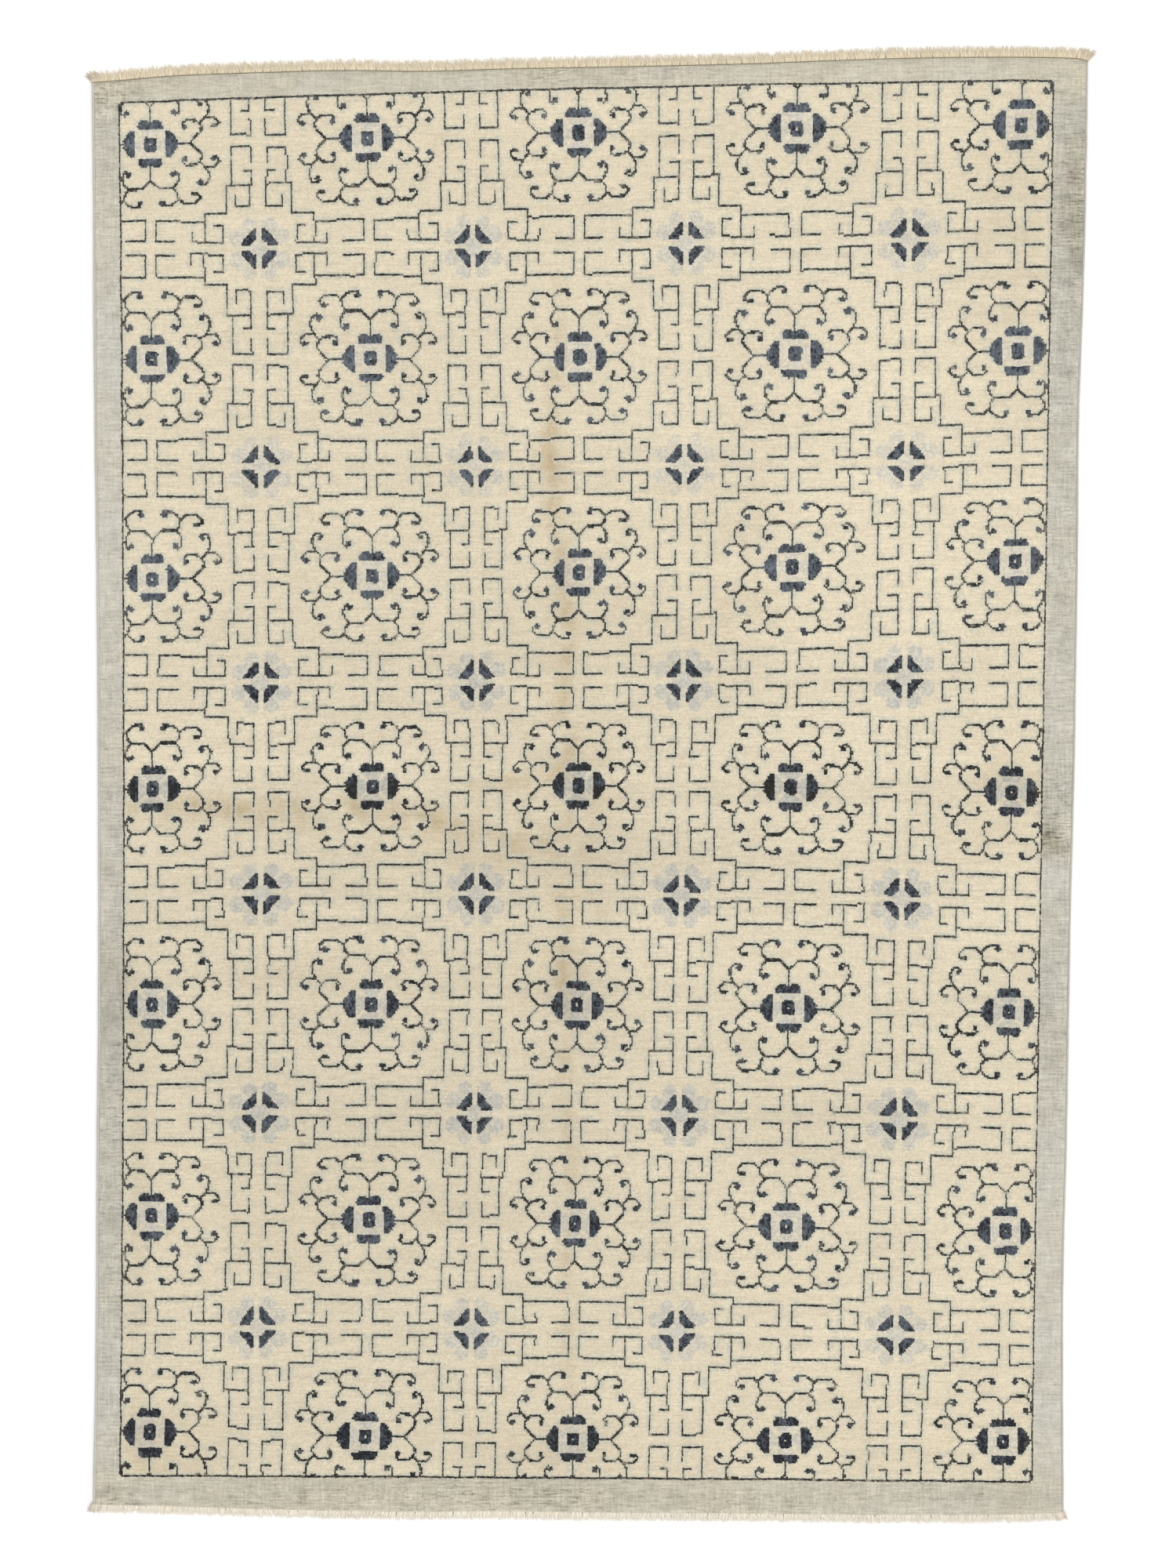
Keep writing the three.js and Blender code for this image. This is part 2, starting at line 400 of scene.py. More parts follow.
MIDDLE_X, MIDDLE_Y = nominal_middle()


def side_lines(v):
    """x of the left and the right side of the outline, at v from 0 at the lower end to 1 at the upper."""
    left = MIDDLE_X - WIDTH / 2 - read_table(SIDES["left"], v) * MM
    right = MIDDLE_X + WIDTH / 2 + read_table(SIDES["right"], v) * MM
    return left, right


def end_lines(u):
    """y of the lower and the upper end of the outline, at u from 0 at the left side to 1 at the right.

    Each end draws back towards its corners, by the drop times exp of minus the distance over the reach.
    """
    near = np.exp(-np.stack([u, 1 - u]) * WIDTH / DROP_REACH)
    lower_drop, upper_drop = (np.tensordot(CORNER_DROPS[end], near, 1) for end in ("lower", "upper"))
    lower = MIDDLE_Y - LENGTH / 2 - (read_table(ENDS["lower"], u) - lower_drop) * MM
    upper = MIDDLE_Y + LENGTH / 2 + (read_table(ENDS["upper"], u) - upper_drop) * MM
    return lower, upper


def outline_point(u, v):
    """A point of the plan: u parts the two sides at v, and v parts the two ends at the share across."""
    left, right = side_lines(v)
    lower, upper = end_lines(u)
    return left + (right - left) * u, lower + (upper - lower) * v


def drawn_lines(stations, lines, place, along_middle, middle):
    """The chart's middle lines at places along them, in the frame.

    Each line is the parabola through its three stations.
    """
    curves = [np.polyfit(stations, values, 2) for values in lines]
    return [middle + np.polyval(curve, (place - along_middle) / MM) * MM for curve in curves]


def between(marks, lines, place):
    """Straight interpolation between lines: marks are the lines' own numbers, place is the one wanted."""
    marks, lines = np.array(marks, float), np.stack(lines)
    k = np.clip(np.searchsorted(marks, place, side="right") - 1, 0, len(marks) - 2)
    share = (place - marks[k]) / (marks[k + 1] - marks[k])
    low = np.take_along_axis(lines, k[None], 0)[0]
    high = np.take_along_axis(lines, k[None] + 1, 0)[0]
    return low + (high - low) * share


def line_marks(near, first, half, lines, far, last):
    """The knot numbers of the rim, the near guard line, each middle line, the far guard line and the rim."""
    knots = [near, *(first + half * k for k in range(len(lines) - 2)), far]
    return (0, *(knot + 0.5 for knot in knots), last)


COLUMN_MARKS = line_marks(
    GUARD["left"], FIRST_COLUMN, HALF_ACROSS, COLUMN_LINES, GUARD["right"], KNOTS_ACROSS
)
ROW_MARKS = line_marks(GUARD["lower"], FIRST_ROW, HALF_ALONG, ROW_LINES, GUARD["upper"], KNOTS_ALONG)


def knot_places(columns, rows, inset):
    """Where the crossings of knot columns and knot rows lie on the plan, as two (rows, columns) arrays.

    A knot column runs from end to end between its two nearest measured lines, in proportion to the knots
    between them, and a knot row likewise. A crossing is found by going from one to the other in turn. The
    outermost column and row follow the outline, drawn in by the side cord and the inset of the rim.
    """
    i, j = np.meshgrid(columns, rows)
    x = np.interp(i, (0, KNOTS_ACROSS), (BODY_LOW[0], BODY_HIGH[0]))
    y = np.interp(j, (0, KNOTS_ALONG), (BODY_LOW[1], BODY_HIGH[1]))
    corners = [end_lines(u) for u in (0.0, 1.0)]
    from_side = SIDE_INSET - SIDE_OVERLAP + inset
    for _ in range(CROSSING_ROUNDS):
        shares = [np.clip((y - lower) / (upper - lower), 0, 1) for lower, upper in corners]
        left, right = side_lines(shares[0])[0], side_lines(shares[1])[1]
        lines = drawn_lines(COLUMN_STATIONS, COLUMN_LINES, y, MIDDLE_Y, MIDDLE_X)
        x = between(COLUMN_MARKS, [left + from_side, *lines, right - from_side], i)
        lower, upper = end_lines(np.clip((x - left) / (right - left), 0, 1))
        lines = drawn_lines(ROW_STATIONS, ROW_LINES, x, MIDDLE_X, MIDDLE_Y)
        y = between(ROW_MARKS, [lower + inset, *lines, upper - inset], j)
    return x, y


def soft_noise(shape, cells, draw):
    """Smooth noise from -1 to 1 on a grid: random numbers at coarse cells, eased from one to the next."""
    grid = draw.uniform(-1, 1, (cells[0] + 2, cells[1] + 2))
    places = [np.linspace(0, cells[k], shape[k]) for k in (0, 1)]
    index = [p.astype(int) for p in places]
    down, right = [(p - i) ** 2 * (3 - 2 * (p - i)) for p, i in zip(places, index)]
    rows = grid[index[0]] + (grid[index[0] + 1] - grid[index[0]]) * down[:, None]
    return rows[:, index[1]] + (rows[:, index[1] + 1] - rows[:, index[1]]) * right


def spots(table, x, y):
    """The sum of soft round spots: each one's depth falls off as exp of minus the squared distance."""
    total = np.zeros_like(x)
    for middle_x, middle_y, reach_x, reach_y, depth in table:
        across = (x - middle_x * MM) / (reach_x * MM)
        along = (y - middle_y * MM) / (reach_y * MM)
        total += depth * np.exp(-(across**2 + along**2))
    return total


def folds(x, y, reach):
    """How deep the fold marks are: exp of minus the square of the distance to the nearest over the reach."""
    return np.exp(-((distance_to_paths(x / MM, y / MM, FOLDS) * MM / reach) ** 2))


def distance_to_paths(x, y, paths, measure=np.hypot):
    """Distance of each point to the nearest of some paths, each a row of corners joined by straight lines.

    The distance is measured from the foot on the line, across and along.
    """
    nearest = np.full(x.shape, np.inf)
    for path in paths:
        for (ax, ay), (bx, by) in zip(path, path[1:]):
            dx, dy = bx - ax, by - ay
            t = np.clip(((x - ax) * dx + (y - ay) * dy) / (dx * dx + dy * dy), 0, 1)
            nearest = np.minimum(nearest, measure(x - ax - t * dx, y - ay - t * dy))
    return nearest


def inside_outline(x, y, corners):
    """Whether each point lies inside an outline, by counting the sides that a line to its right crosses."""
    odd = np.zeros(x.shape, bool)
    for (ax, ay), (bx, by) in zip(corners, corners[1:] + corners[:1]):
        if ay == by:
            continue
        odd ^= ((ay > y) != (by > y)) & (x < ax + (y - ay) * (bx - ax) / (by - ay))
    return odd


def cut_block(x, y, wide, high, corner, slope=1.0):
    """Whether each point lies in a block whose corner is cut off where slope x + y reaches a number."""
    return (x < wide) & (y < high) & (slope * x + y < corner)


def blossom(x, y, eyed, line, vine, longer_leg):
    """Navy and pale knots of one quarter blossom, from its middle: block, petals, stems and vines.

    The block has a pale eye in most blossoms, and ground-coloured lines part the square into four sides.
    """
    navy = (distance_to_paths(x, y, STEMS, longer_leg) < line) | (distance_to_paths(x, y, VINES) < vine)
    for dot_x, dot_y, wide, high in VINE_DOTS:
        navy |= ((x - dot_x) / wide) ** 2 + ((y - dot_y) / high) ** 2 < 1
    navy |= inside_outline(x, y, END_PETAL) | inside_outline(x, y, SIDE_PETAL)
    navy |= cut_block(x, y, *BLOCK) & ~(eyed & (np.hypot(x, y) < EYE))
    return navy, cut_block(x, y, *SQUARE) & (np.abs(x - y) > PARTING) & ~navy


def cross(x, y, line, longer_leg):
    """Navy and pale knots round one cross, from its middle: frets, four slanted petals, cloud lobes."""
    navy = distance_to_paths(x, y, FRETS, longer_leg) < line
    slanted = cut_block(x, y, *PETAL) & (x > PETAL_START[0]) & (y > PETAL_START[1])
    slanted &= (np.hypot(x, y) > PETAL_HOLLOWS[0]) & (x + y > PETAL_HOLLOWS[1])
    eye = (x < CLOUD_EYE[0]) & (y < CLOUD_EYE[1])
    cloud = cut_block(x, y, *CLOUD)
    for lobe_x, lobe_y, radius in CLOUD_LOBES:
        cloud |= np.hypot(x - lobe_x, y - lobe_y) < radius
    channel = (np.minimum(x, y) < CHANNEL) & ~eye
    return navy | slanted, ((cloud & ~channel) | eye) & ~slanted


def spread(plane):
    """A plane of knots grown by one knot each way."""
    grown = plane.copy()
    grown[1:] |= plane[:-1]
    grown[:-1] |= plane[1:]
    grown[:, 1:] |= plane[:, :-1]
    grown[:, :-1] |= plane[:, 1:]
    return grown


def knot_planes(line, vine, wander):
    """Which knots are navy, pale, and tinted beside navy: three (along, across) planes.

    Each knot's number is folded into one quarter of the repeat, after a small smooth wander that makes each
    copy a little different, as a weaver's copies are.
    """
    draw = np.random.default_rng(SEED)
    shape = (KNOTS_ALONG, KNOTS_ACROSS)
    cells = (KNOTS_ALONG // WANDER_KNOTS, KNOTS_ACROSS // WANDER_KNOTS)
    i, j = np.meshgrid(np.arange(KNOTS_ACROSS), np.arange(KNOTS_ALONG))
    across = i - FIRST_COLUMN + wander * soft_noise(shape, cells, draw)
    along = j - FIRST_ROW + wander * soft_noise(shape, cells, draw)
    knot_width, knot_height = np.gradient(across, axis=1), np.gradient(along, axis=0)

    def longer_leg(dx, dy):
        """The longer of two legs in whole knots, which keeps a level or upright line one knot wide."""
        return np.maximum(np.abs(dx) / knot_width, np.abs(dy) / knot_height)

    x = np.abs((across + HALF_ACROSS) % (2 * HALF_ACROSS) - HALF_ACROSS)
    y = np.abs((along + HALF_ALONG) % (2 * HALF_ALONG) - HALF_ALONG)
    column, row = np.round(across / (2 * HALF_ACROSS)), np.round(along / (2 * HALF_ALONG))
    eyed = ~np.any([(column == a) & (row == b) for a, b in EYELESS], axis=0)
    navy, pale = blossom(x, y, eyed, line, vine, longer_leg)
    fret, cloud = cross(HALF_ACROSS - x, HALF_ALONG - y, line, longer_leg)
    field = (i > GUARD["left"]) & (i < GUARD["right"]) & (j > GUARD["lower"]) & (j < GUARD["upper"])
    guard = spread(field) & ~field
    navy = ((navy | fret) & field) | guard
    pale = (pale | cloud) & field & ~navy
    near = spread(navy)
    tint = near | (spread(near) & (draw.uniform(0, 1, shape) < TINTED_SHARE))
    tint &= field & ~navy & ~pale
    return {"navy": navy, "pale": pale, "tinted": tint}


def knots_near(plane, rows, columns, reach=3):
    """How many knots of a plane lie within a reach of each crossing of the given knot rows and columns."""
    total = np.pad(plane.astype(float), ((reach + 1, reach), (reach + 1, reach))).cumsum(0).cumsum(1)
    far_rows, far_columns = rows + 2 * reach, columns + 2 * reach
    whole = total[np.ix_(far_rows, far_columns)] + total[np.ix_(rows, columns)]
    return whole - total[np.ix_(rows, far_columns)] - total[np.ix_(far_rows, columns)]


def drawing_shares(navy, rows, columns):
    """At crossings, which share of the dark knots near by fills a petal, and which is an upright line.

    A knot fills a petal when it touches a knot with dark knots on all four sides, and is upright when it has
    none on its left and its right.
    """
    framed = np.pad(navy, 1)
    left, right, below, above = framed[1:-1, :-2], framed[1:-1, 2:], framed[:-2, 1:-1], framed[2:, 1:-1]
    dark = np.maximum(knots_near(navy, rows, columns), 1)
    filled = spread(navy & left & right & below & above) & navy
    upright = navy & ~left & ~right
    return [knots_near(plane, rows, columns) / dark for plane in (filled, upright)]


def face_numbers(plane):
    """Two numbers for each face: the knots that it knows as binary digits, lower and upper rows apart."""
    framed = np.pad(plane, 1, mode="edge").astype(float)
    windows = np.lib.stride_tricks.sliding_window_view(framed, (KNOWN_KNOTS, KNOWN_KNOTS))
    known = windows[::KNOTS_A_FACE, ::KNOTS_A_FACE]
    weights = 2.0 ** np.arange(HALF_ROWS * KNOWN_KNOTS).reshape(HALF_ROWS, KNOWN_KNOTS)
    halves = known[:, :, :HALF_ROWS], known[:, :, HALF_ROWS:]
    return [np.einsum("abij,ij->ab", half, weights).ravel() for half in halves]


def grid_faces(rows, columns):
    """Corner numbers of the faces of a grid, row by row, turning left as seen from the grid's front."""
    start = np.arange(rows - 1)[:, None] * columns + np.arange(columns - 1)
    return np.stack([start, start + 1, start + columns + 1, start + columns], -1).reshape(-1, 4)


def grid_rim(rows, columns):
    """Corner numbers round a grid, turning left from its first corner."""
    numbers = np.arange(rows * columns).reshape(rows, columns)
    return np.concatenate([numbers[0, :-1], numbers[:-1, -1], numbers[-1, :0:-1], numbers[:0:-1, 0]])


def new_piece(name, points, faces, material, smooth=True):
    """An object at the origin with a mesh of these points and faces, in the scene's collection."""
    mesh = bpy.data.meshes.new(name)
    mesh.from_pydata(points.tolist(), [], [face for group in faces for face in group.tolist()])
    mesh.polygons.foreach_set("use_smooth", np.full(len(mesh.polygons), smooth))
    mesh.materials.append(material)
    mesh.update()
    piece = bpy.data.objects.new(name, mesh)
    bpy.context.scene.collection.objects.link(piece)
    return piece


def add_map(piece, name, corners):
    """A UV map, from one pair of numbers for each corner of each face in turn."""
    layer = piece.data.uv_layers.new(name=name)
    layer.uv.foreach_set("vector", np.ascontiguousarray(corners, np.float32).ravel())


def add_numbers(piece, name, values, domain="POINT"):
    """A named number for each point or each face of a piece."""
    attribute = piece.data.attributes.new(name, "FLOAT", domain)
    attribute.data.foreach_set("value", np.ascontiguousarray(values, np.float32).ravel())


def pile_piece(sizes, material):
    """The knotted pile on its foundation, one closed slab.

    The pile and the underside are grids whose lines are every fourth knot row and column, at the crossings
    that knot_places gives. The pile's height is the slab's, less a small smooth noise, and three rings of
    rim points close the two along their edges. The plan wanders by a smooth noise that dies out at the rim.
    """
    draw = np.random.default_rng(SEED + 1)
    columns = np.arange(0, KNOTS_ACROSS + 1, KNOTS_A_FACE)
    rows = np.arange(0, KNOTS_ALONG + 1, KNOTS_A_FACE)
    shape = (len(rows), len(columns))
    i, j = np.meshgrid(columns, rows)
    from_edge = np.minimum(np.minimum(i, KNOTS_ACROSS - i), np.minimum(j, KNOTS_ALONG - j))
    free = np.clip(from_edge / STILL_KNOTS, 0, 1)
    sway_x = soft_noise(shape, (shape[0] // 3, shape[1] // 4), draw) * sizes.cloth_sway * free
    sway_y = soft_noise(shape, (shape[0] // 4, shape[1] // 3), draw) * sizes.cloth_sway * free
    sink = (1 + soft_noise(shape, (shape[0] // 5, shape[1] // 5), draw)) / 2 * sizes.pile_unevenness * free
    places = [knot_places(columns, rows, inset) for inset, _ in RIM]
    layers = [
        np.stack([x + sway_x, y + sway_y, height], -1).reshape(-1, 3)
        for (x, y), height in ((places[-1], BODY_HIGH[2] - sink), (places[0], np.zeros(shape)))
    ]
    rim = grid_rim(*shape)
    rings = []
    for (x, y), (_, level) in list(zip(places, RIM))[1:-1]:
        rough = draw.uniform(-1, 1, len(rim)) * sizes.rim_roughness * (level > 2 * MM)
        rings.append(np.stack([x.ravel()[rim], y.ravel()[rim], level + rough], -1))
    points = np.concatenate(layers + rings)

    faces = grid_faces(*shape)
    count = i.size
    loops = [rim + count, *np.arange(2 * count, len(points)).reshape(len(rings), -1), rim]
    walls = [
        np.stack([low, np.roll(low, -1), np.roll(high, -1), high], -1) for low, high in zip(loops, loops[1:])
    ]
    groups = [faces, faces[:, ::-1] + count, *walls]
    piece = new_piece("knotted_pile", points, groups, material)

    def everywhere(values):
        """Values of the grid's points, given again to the underside and to each ring of the rim."""
        return np.concatenate([values, values] + [values[rim]] * len(rings))

    knots = np.stack([i.ravel(), j.ravel()], -1).astype(float)
    every_knot = everywhere(knots)
    add_map(piece, "knots", np.concatenate([every_knot[group.ravel()] for group in groups]))
    add_map(piece, "OFBake", pile_bake_map(knots, faces, shape))
    planes = knot_planes(sizes.line_half_width, sizes.vine_half_width, sizes.chart_wander)
    on_walls = np.zeros(len(walls) * len(rim))
    for name, plane in planes.items():
        for half, values in zip(("lower", "upper"), face_numbers(plane)):
            add_numbers(piece, f"{name}_{half}", np.concatenate([values, values, on_walls]), "FACE")

    x, y = points[:, 0], points[:, 1]
    upward = (every_knot[:, 1] - FIRST_ROW) / (HALF_ALONG * (len(NAVY_DEPTHS) - 1))
    layer = np.repeat([0, 1, 2], [count, count, len(points) - 2 * count])
    filled, upright = drawing_shares(planes["navy"], rows, columns)
    numbers = {
        "filled": everywhere(filled.ravel()),
        "upright": everywhere(upright.ravel()),
        "folded": folds(x, y, sizes.fold_reach),
        "dye_depth": read_table(NAVY_DEPTHS, np.clip(upward, 0, 1)),
        "pale_depth": read_table(PALE_DEPTHS, np.clip(upward, 0, 1)),
        "underside": layer == 1,
        # painted light: the wool of the left rim, which faces away from the sun, is made lighter
        "left_rim_painted_light": everywhere(i.ravel() == 0) * np.array(LEFT_RIM_PAINTED_LIGHT)[layer],
    }
    numbers |= {name: spots(table, x, y) for name, table in SPOT_TABLES.items()}
    for name, values in numbers.items():
        add_numbers(piece, name, values)
    return piece


def pile_bake_map(knots, faces, shape):
    """A flat layout for baking.

    The pile is in the left part of the square and the mirrored underside beside it. The walls of the rim's
    four sides are narrow strips at the right, each as long as the square is high.
    """
    pile_width, under_width, under_edge, strip_edge, strip_width = 0.68, 0.28, 0.972, 0.976, 0.0012
    share = knots / (KNOTS_ACROSS, KNOTS_ALONG)
    pile = share[faces.ravel()] * (pile_width, 1)
    under = share[faces[:, ::-1].ravel()] * (-under_width, 1) + (under_edge, 0)
    lengths = np.array([shape[1] - 1, shape[0] - 1] * 2)
    side = np.repeat(np.arange(4), lengths)
    step = np.concatenate([np.arange(n) / n for n in lengths])
    next_step = step + np.repeat(1 / lengths, lengths)
    strips = []
    for wall in range(len(RIM) - 1):
        left = strip_edge + (side * len(RIM) + wall) * strip_width
        right = left + strip_width
        corners = [(right, step), (right, next_step), (left, next_step), (left, step)]
        strips.append(np.stack([np.stack(c, -1) for c in corners], 1).reshape(-1, 2))
    return np.concatenate([pile, under, *strips])


def carried_profile(name, rings, first, last, material, columns, smooth=True):
    """A piece of closed tubes, each a ring of points carried along a path.

    rings is (tubes, rings, sides, 3), turning left as seen from the tube's far end; first and last are the
    (tubes, 3) points that close the two ends. The map named thread holds the share round a tube and the
    distance along it in millimetres, and the bake map gives each band between two rings a cell of its own,
    column after column. The two closed ends count as the first and the last band.
    """
    tubes, count, sides, _ = rings.shape
    points = np.concatenate([rings.reshape(-1, 3), first, last])
    number = np.arange(tubes * count * sides).reshape(tubes, count, sides)
    side_on = np.roll(number, -1, axis=2)
    start = (tubes * count * sides + np.arange(tubes))[:, None]
    start, end = (np.broadcast_to(point, (tubes, sides)) for point in (start, start + tubes))
    walls = np.stack([number[:, :-1], side_on[:, :-1], side_on[:, 1:], number[:, 1:]], -1)
    opening = np.stack([start, side_on[:, 0], number[:, 0]], -1)
    closing = np.stack([number[:, -1], side_on[:, -1], end], -1)
    groups = [walls.reshape(-1, 4), opening.reshape(-1, 3), closing.reshape(-1, 3)]
    piece = new_piece(name, points, groups, material, smooth)

    left = np.arange(sides) / sides
    right, middle = left + 1 / sides, left + 0.5 / sides

    def band_map(low, high, edge, width):
        """Corner pairs of all faces, from each band's low and high number, its left edge and its width."""
        wall = (slice(1, -1), [(left, low), (right, low), (right, high), (left, high)])
        opening = (slice(0, 1), [(middle, low), (right, high), (left, high)])
        closing = (slice(-1, None), [(left, low), (right, low), (middle, high)])
        faces = []
        for bands, pairs in (wall, opening, closing):
            corners = [np.stack(np.broadcast_arrays(edge + width * u, v), -1)[:, bands] for u, v in pairs]
            faces.append(np.stack(corners, -2).reshape(-1, 2))
        return np.concatenate(faces)

    steps = np.linalg.norm(np.diff(rings.mean(2), axis=1), axis=2) / MM
    one = np.ones((tubes, 1))
    marks = np.cumsum(np.concatenate([-one, one, steps, one], 1), 1)[..., None]
    add_map(piece, "thread", band_map(marks[:, :-1], marks[:, 1:], 0, 1))
    bands = count + 1
    band_rows = int(np.ceil(tubes * bands / columns))
    cell = np.arange(tubes * bands).reshape(tubes, bands, 1)
    low = cell % band_rows / band_rows
    edge = (cell // band_rows + CELL_MARGIN) / columns
    add_map(piece, "OFBake", band_map(low, low + 1 / band_rows, edge, (1 - 2 * CELL_MARGIN) / columns))
    return piece


def side_cord(name, u, sizes, material):
    """The cord overcast along one side.

    An oval section, flattened where it lies on the floor, is carried along the outline. Its radius swells
    by the sine of the distance along it over the wrap's pitch, turned a little with the angle, so that
    each turn of yarn stands out as a slanted ridge, and a slow noise makes it thicker and thinner.
    """
    draw = np.random.default_rng(SEED + 2 + u)
    count = int(LENGTH / (sizes.wrap_pitch / RINGS_A_TURN))
    v = np.linspace(0, 1, count)

    def drift(cells):
        """Noise from -1 to 1 along the cord, straight from one random number to the next."""
        return np.interp(np.arange(count), np.linspace(0, count, cells), draw.uniform(-1, 1, cells))[:, None]

    x, y = (number[:, None] for number in outline_point(float(u), v))
    inward = CORD_WIDTH / 2 if u == 0 else -CORD_WIDTH / 2
    angle = (np.arange(CORD_SIDES) + 0.5) / CORD_SIDES * 2 * np.pi
    wrap = np.sin((v * LENGTH / sizes.wrap_pitch * 2 * np.pi)[:, None] + angle * WRAP_SLANT)
    radius = CORD_FULLNESS + sizes.wrap_relief / (CORD_WIDTH / 2) * wrap + CORD_UNEVENNESS * drift(150)
    across = CORD_WIDTH / 2 * radius * np.cos(angle) + drift(90) * CORD_DRIFT
    up = np.maximum(CORD_HEIGHT / 2 * (1 + radius * np.sin(angle)), 0.05 * MM)
    rings = np.stack(np.broadcast_arrays(x + inward - across, y, up), -1)
    ends = rings.mean(1)
    return carried_profile(name, rings[None], ends[:1], ends[-1:], material, columns=16)


def fringe_piece(name, end, sizes, material):
    """The warp ends of one end, cut short, standing out of a narrow woven strip.

    Each tuft is a bundle of strands, and each strand a thin tube of four sides along a path that leaves the
    rug's edge, bellies a little and comes down on the floor. Its sideways place is the tuft's middle, plus
    its own spread, plus the end's lean times a power of the share of its reach. More tufts at each corner,
    of coarser greyish ends, splay outwards, and the tufts next to them lean after them, less with each one
    inwards.
    """
    upper = end == "upper"
    draw = np.random.default_rng(SEED + 10 + upper)
    outward = 1 if upper else -1
    reach = sizes.upper_length if upper else sizes.lower_length
    start, root_height = FRINGE_ROOTS[end]
    count, per = sizes.tufts, sizes.strands
    corner = np.array(CORNER_TUFTS)
    along = np.arange(count) + 0.5 + draw.uniform(-0.16, 0.16, count)
    place = np.concatenate([along, corner, count - corner])
    middle = place / count
    tufts = len(place)
    at_corner = np.arange(tufts) >= count
    splay = np.where(middle < 0.5, -SPLAYS[end][0], SPLAYS[end][1])
    splay = splay * np.exp(-np.minimum(place, count - place) / SPLAY_REACH)
    lean = (read_table(LEANS[end], middle) + draw.uniform(-1, 1, tufts) * 1.2 + splay) * MM
    length = reach * (1 + draw.uniform(-0.06, 0.04, tufts)) * np.where(at_corner, 0.95, 1.0)

    strands = tufts * per
    tuft = np.repeat(np.arange(tufts), per)
    even = np.tile((np.arange(per) + 0.5) / per * 2 - 1, tufts)
    spread_out = (even + draw.uniform(-1.2, 1.2, strands) / per) * WIDTH / count
    base_x, base_y = outline_point(middle[tuft], float(upper))
    own_length = length[tuft] * draw.uniform(0.6, 1.1, strands)
    phase = draw.uniform(0, 2 * np.pi, strands)
    curl = draw.uniform(0.1, 0.6, strands) * MM
    lift = draw.uniform(0.15, 1.0, strands)
    root = root_height * (0.75 + 0.25 * lift)

    def path(at):
        """x, y and z of every strand at a share of its reach."""
        x = base_x + spread_out * (0.46 + 0.18 * at**0.5)
        x = x + lean[tuft] * at**1.5 + curl * np.sin(phase + at * 5.5) * at
        y = base_y + outward * (start + (own_length - start) * at)
        belly = np.sin(np.pi * at**0.8) * 0.9 * MM * lift
        z = root * (1 - at) ** 1.3 + belly + 0.6 * MM * (0.7 + lift * at)
        return np.stack([x, y, z], -1)

    thick = draw.uniform(0.8, 1.2, strands) * np.where(at_corner, 1.25, 1.0)[tuft]
    thick = thick[:, None, None] * sizes.strand_thickness / 2 * np.array(STRAND_TAPER)[:, None]
    angle = (np.arange(4) + 0.5) / 4 * 2 * np.pi * outward
    section = np.stack([np.cos(angle), np.zeros(4), -0.9 * np.sin(angle)], -1)
    line = np.stack([path(at) for at in STRAND_STEPS], 1)
    rings = line[:, :, None] + thick[..., None] * section
    rings[..., 2] = np.maximum(rings[..., 2], 0.08 * MM)
    piece = carried_profile(name, rings, path(0.0), path(1.0), material, columns=110, smooth=False)

    tone = draw.uniform(0, 1, strands)
    grey = (at_corner * (0.6 + 0.4 * draw.uniform(0, 1, tufts)))[tuft]
    for number, values in {"strand_tone": tone, "corner_grey": grey, "tuft_side": np.abs(even)}.items():
        on_rings = np.repeat(values, len(STRAND_STEPS) * 4)
        add_numbers(piece, number, np.concatenate([on_rings, values, values]))
    reached = np.tile(np.repeat(STRAND_STEPS, 4), strands)
    add_numbers(piece, "reached", np.concatenate([reached, np.zeros(strands), np.ones(strands)]))
    return piece


def woven_strip(end):
    """Points of the narrow woven strip: the corners of its section carried along the end of the rug."""
    outward = 1 if end == "upper" else -1
    x, y = (number[:, None] for number in outline_point(np.linspace(0, 1, 240), float(end == "upper")))
    reach, height = np.array(STRIP_SECTION)[::-outward].T * MM
    return np.stack(np.broadcast_arrays(x, y + outward * reach, height), -1)


def arithmetic(operation, turned=False):
    """A method that adds one step of arithmetic, on a term and another number, turned round if asked."""

    def method(term, other=None):
        first, second = (other, term) if turned else (term, other)
        return term.nodes.maths(operation, first, second)

    return method


class Term:
    """What a material's nodes work out at a point, which a formula takes as it takes a plain number."""

    __add__ = arithmetic("ADD")
    __sub__ = arithmetic("SUBTRACT")
    __rsub__ = arithmetic("SUBTRACT", turned=True)
    __mul__ = arithmetic("MULTIPLY")
    __truediv__ = arithmetic("DIVIDE")
    __rpow__ = arithmetic("POWER", turned=True)
    __mod__ = arithmetic("MODULO")
    __gt__ = arithmetic("GREATER_THAN")
    __lt__ = arithmetic("LESS_THAN")
    __abs__ = arithmetic("ABSOLUTE")

    def __init__(self, nodes, socket):
        self.nodes = nodes
        self.socket = socket


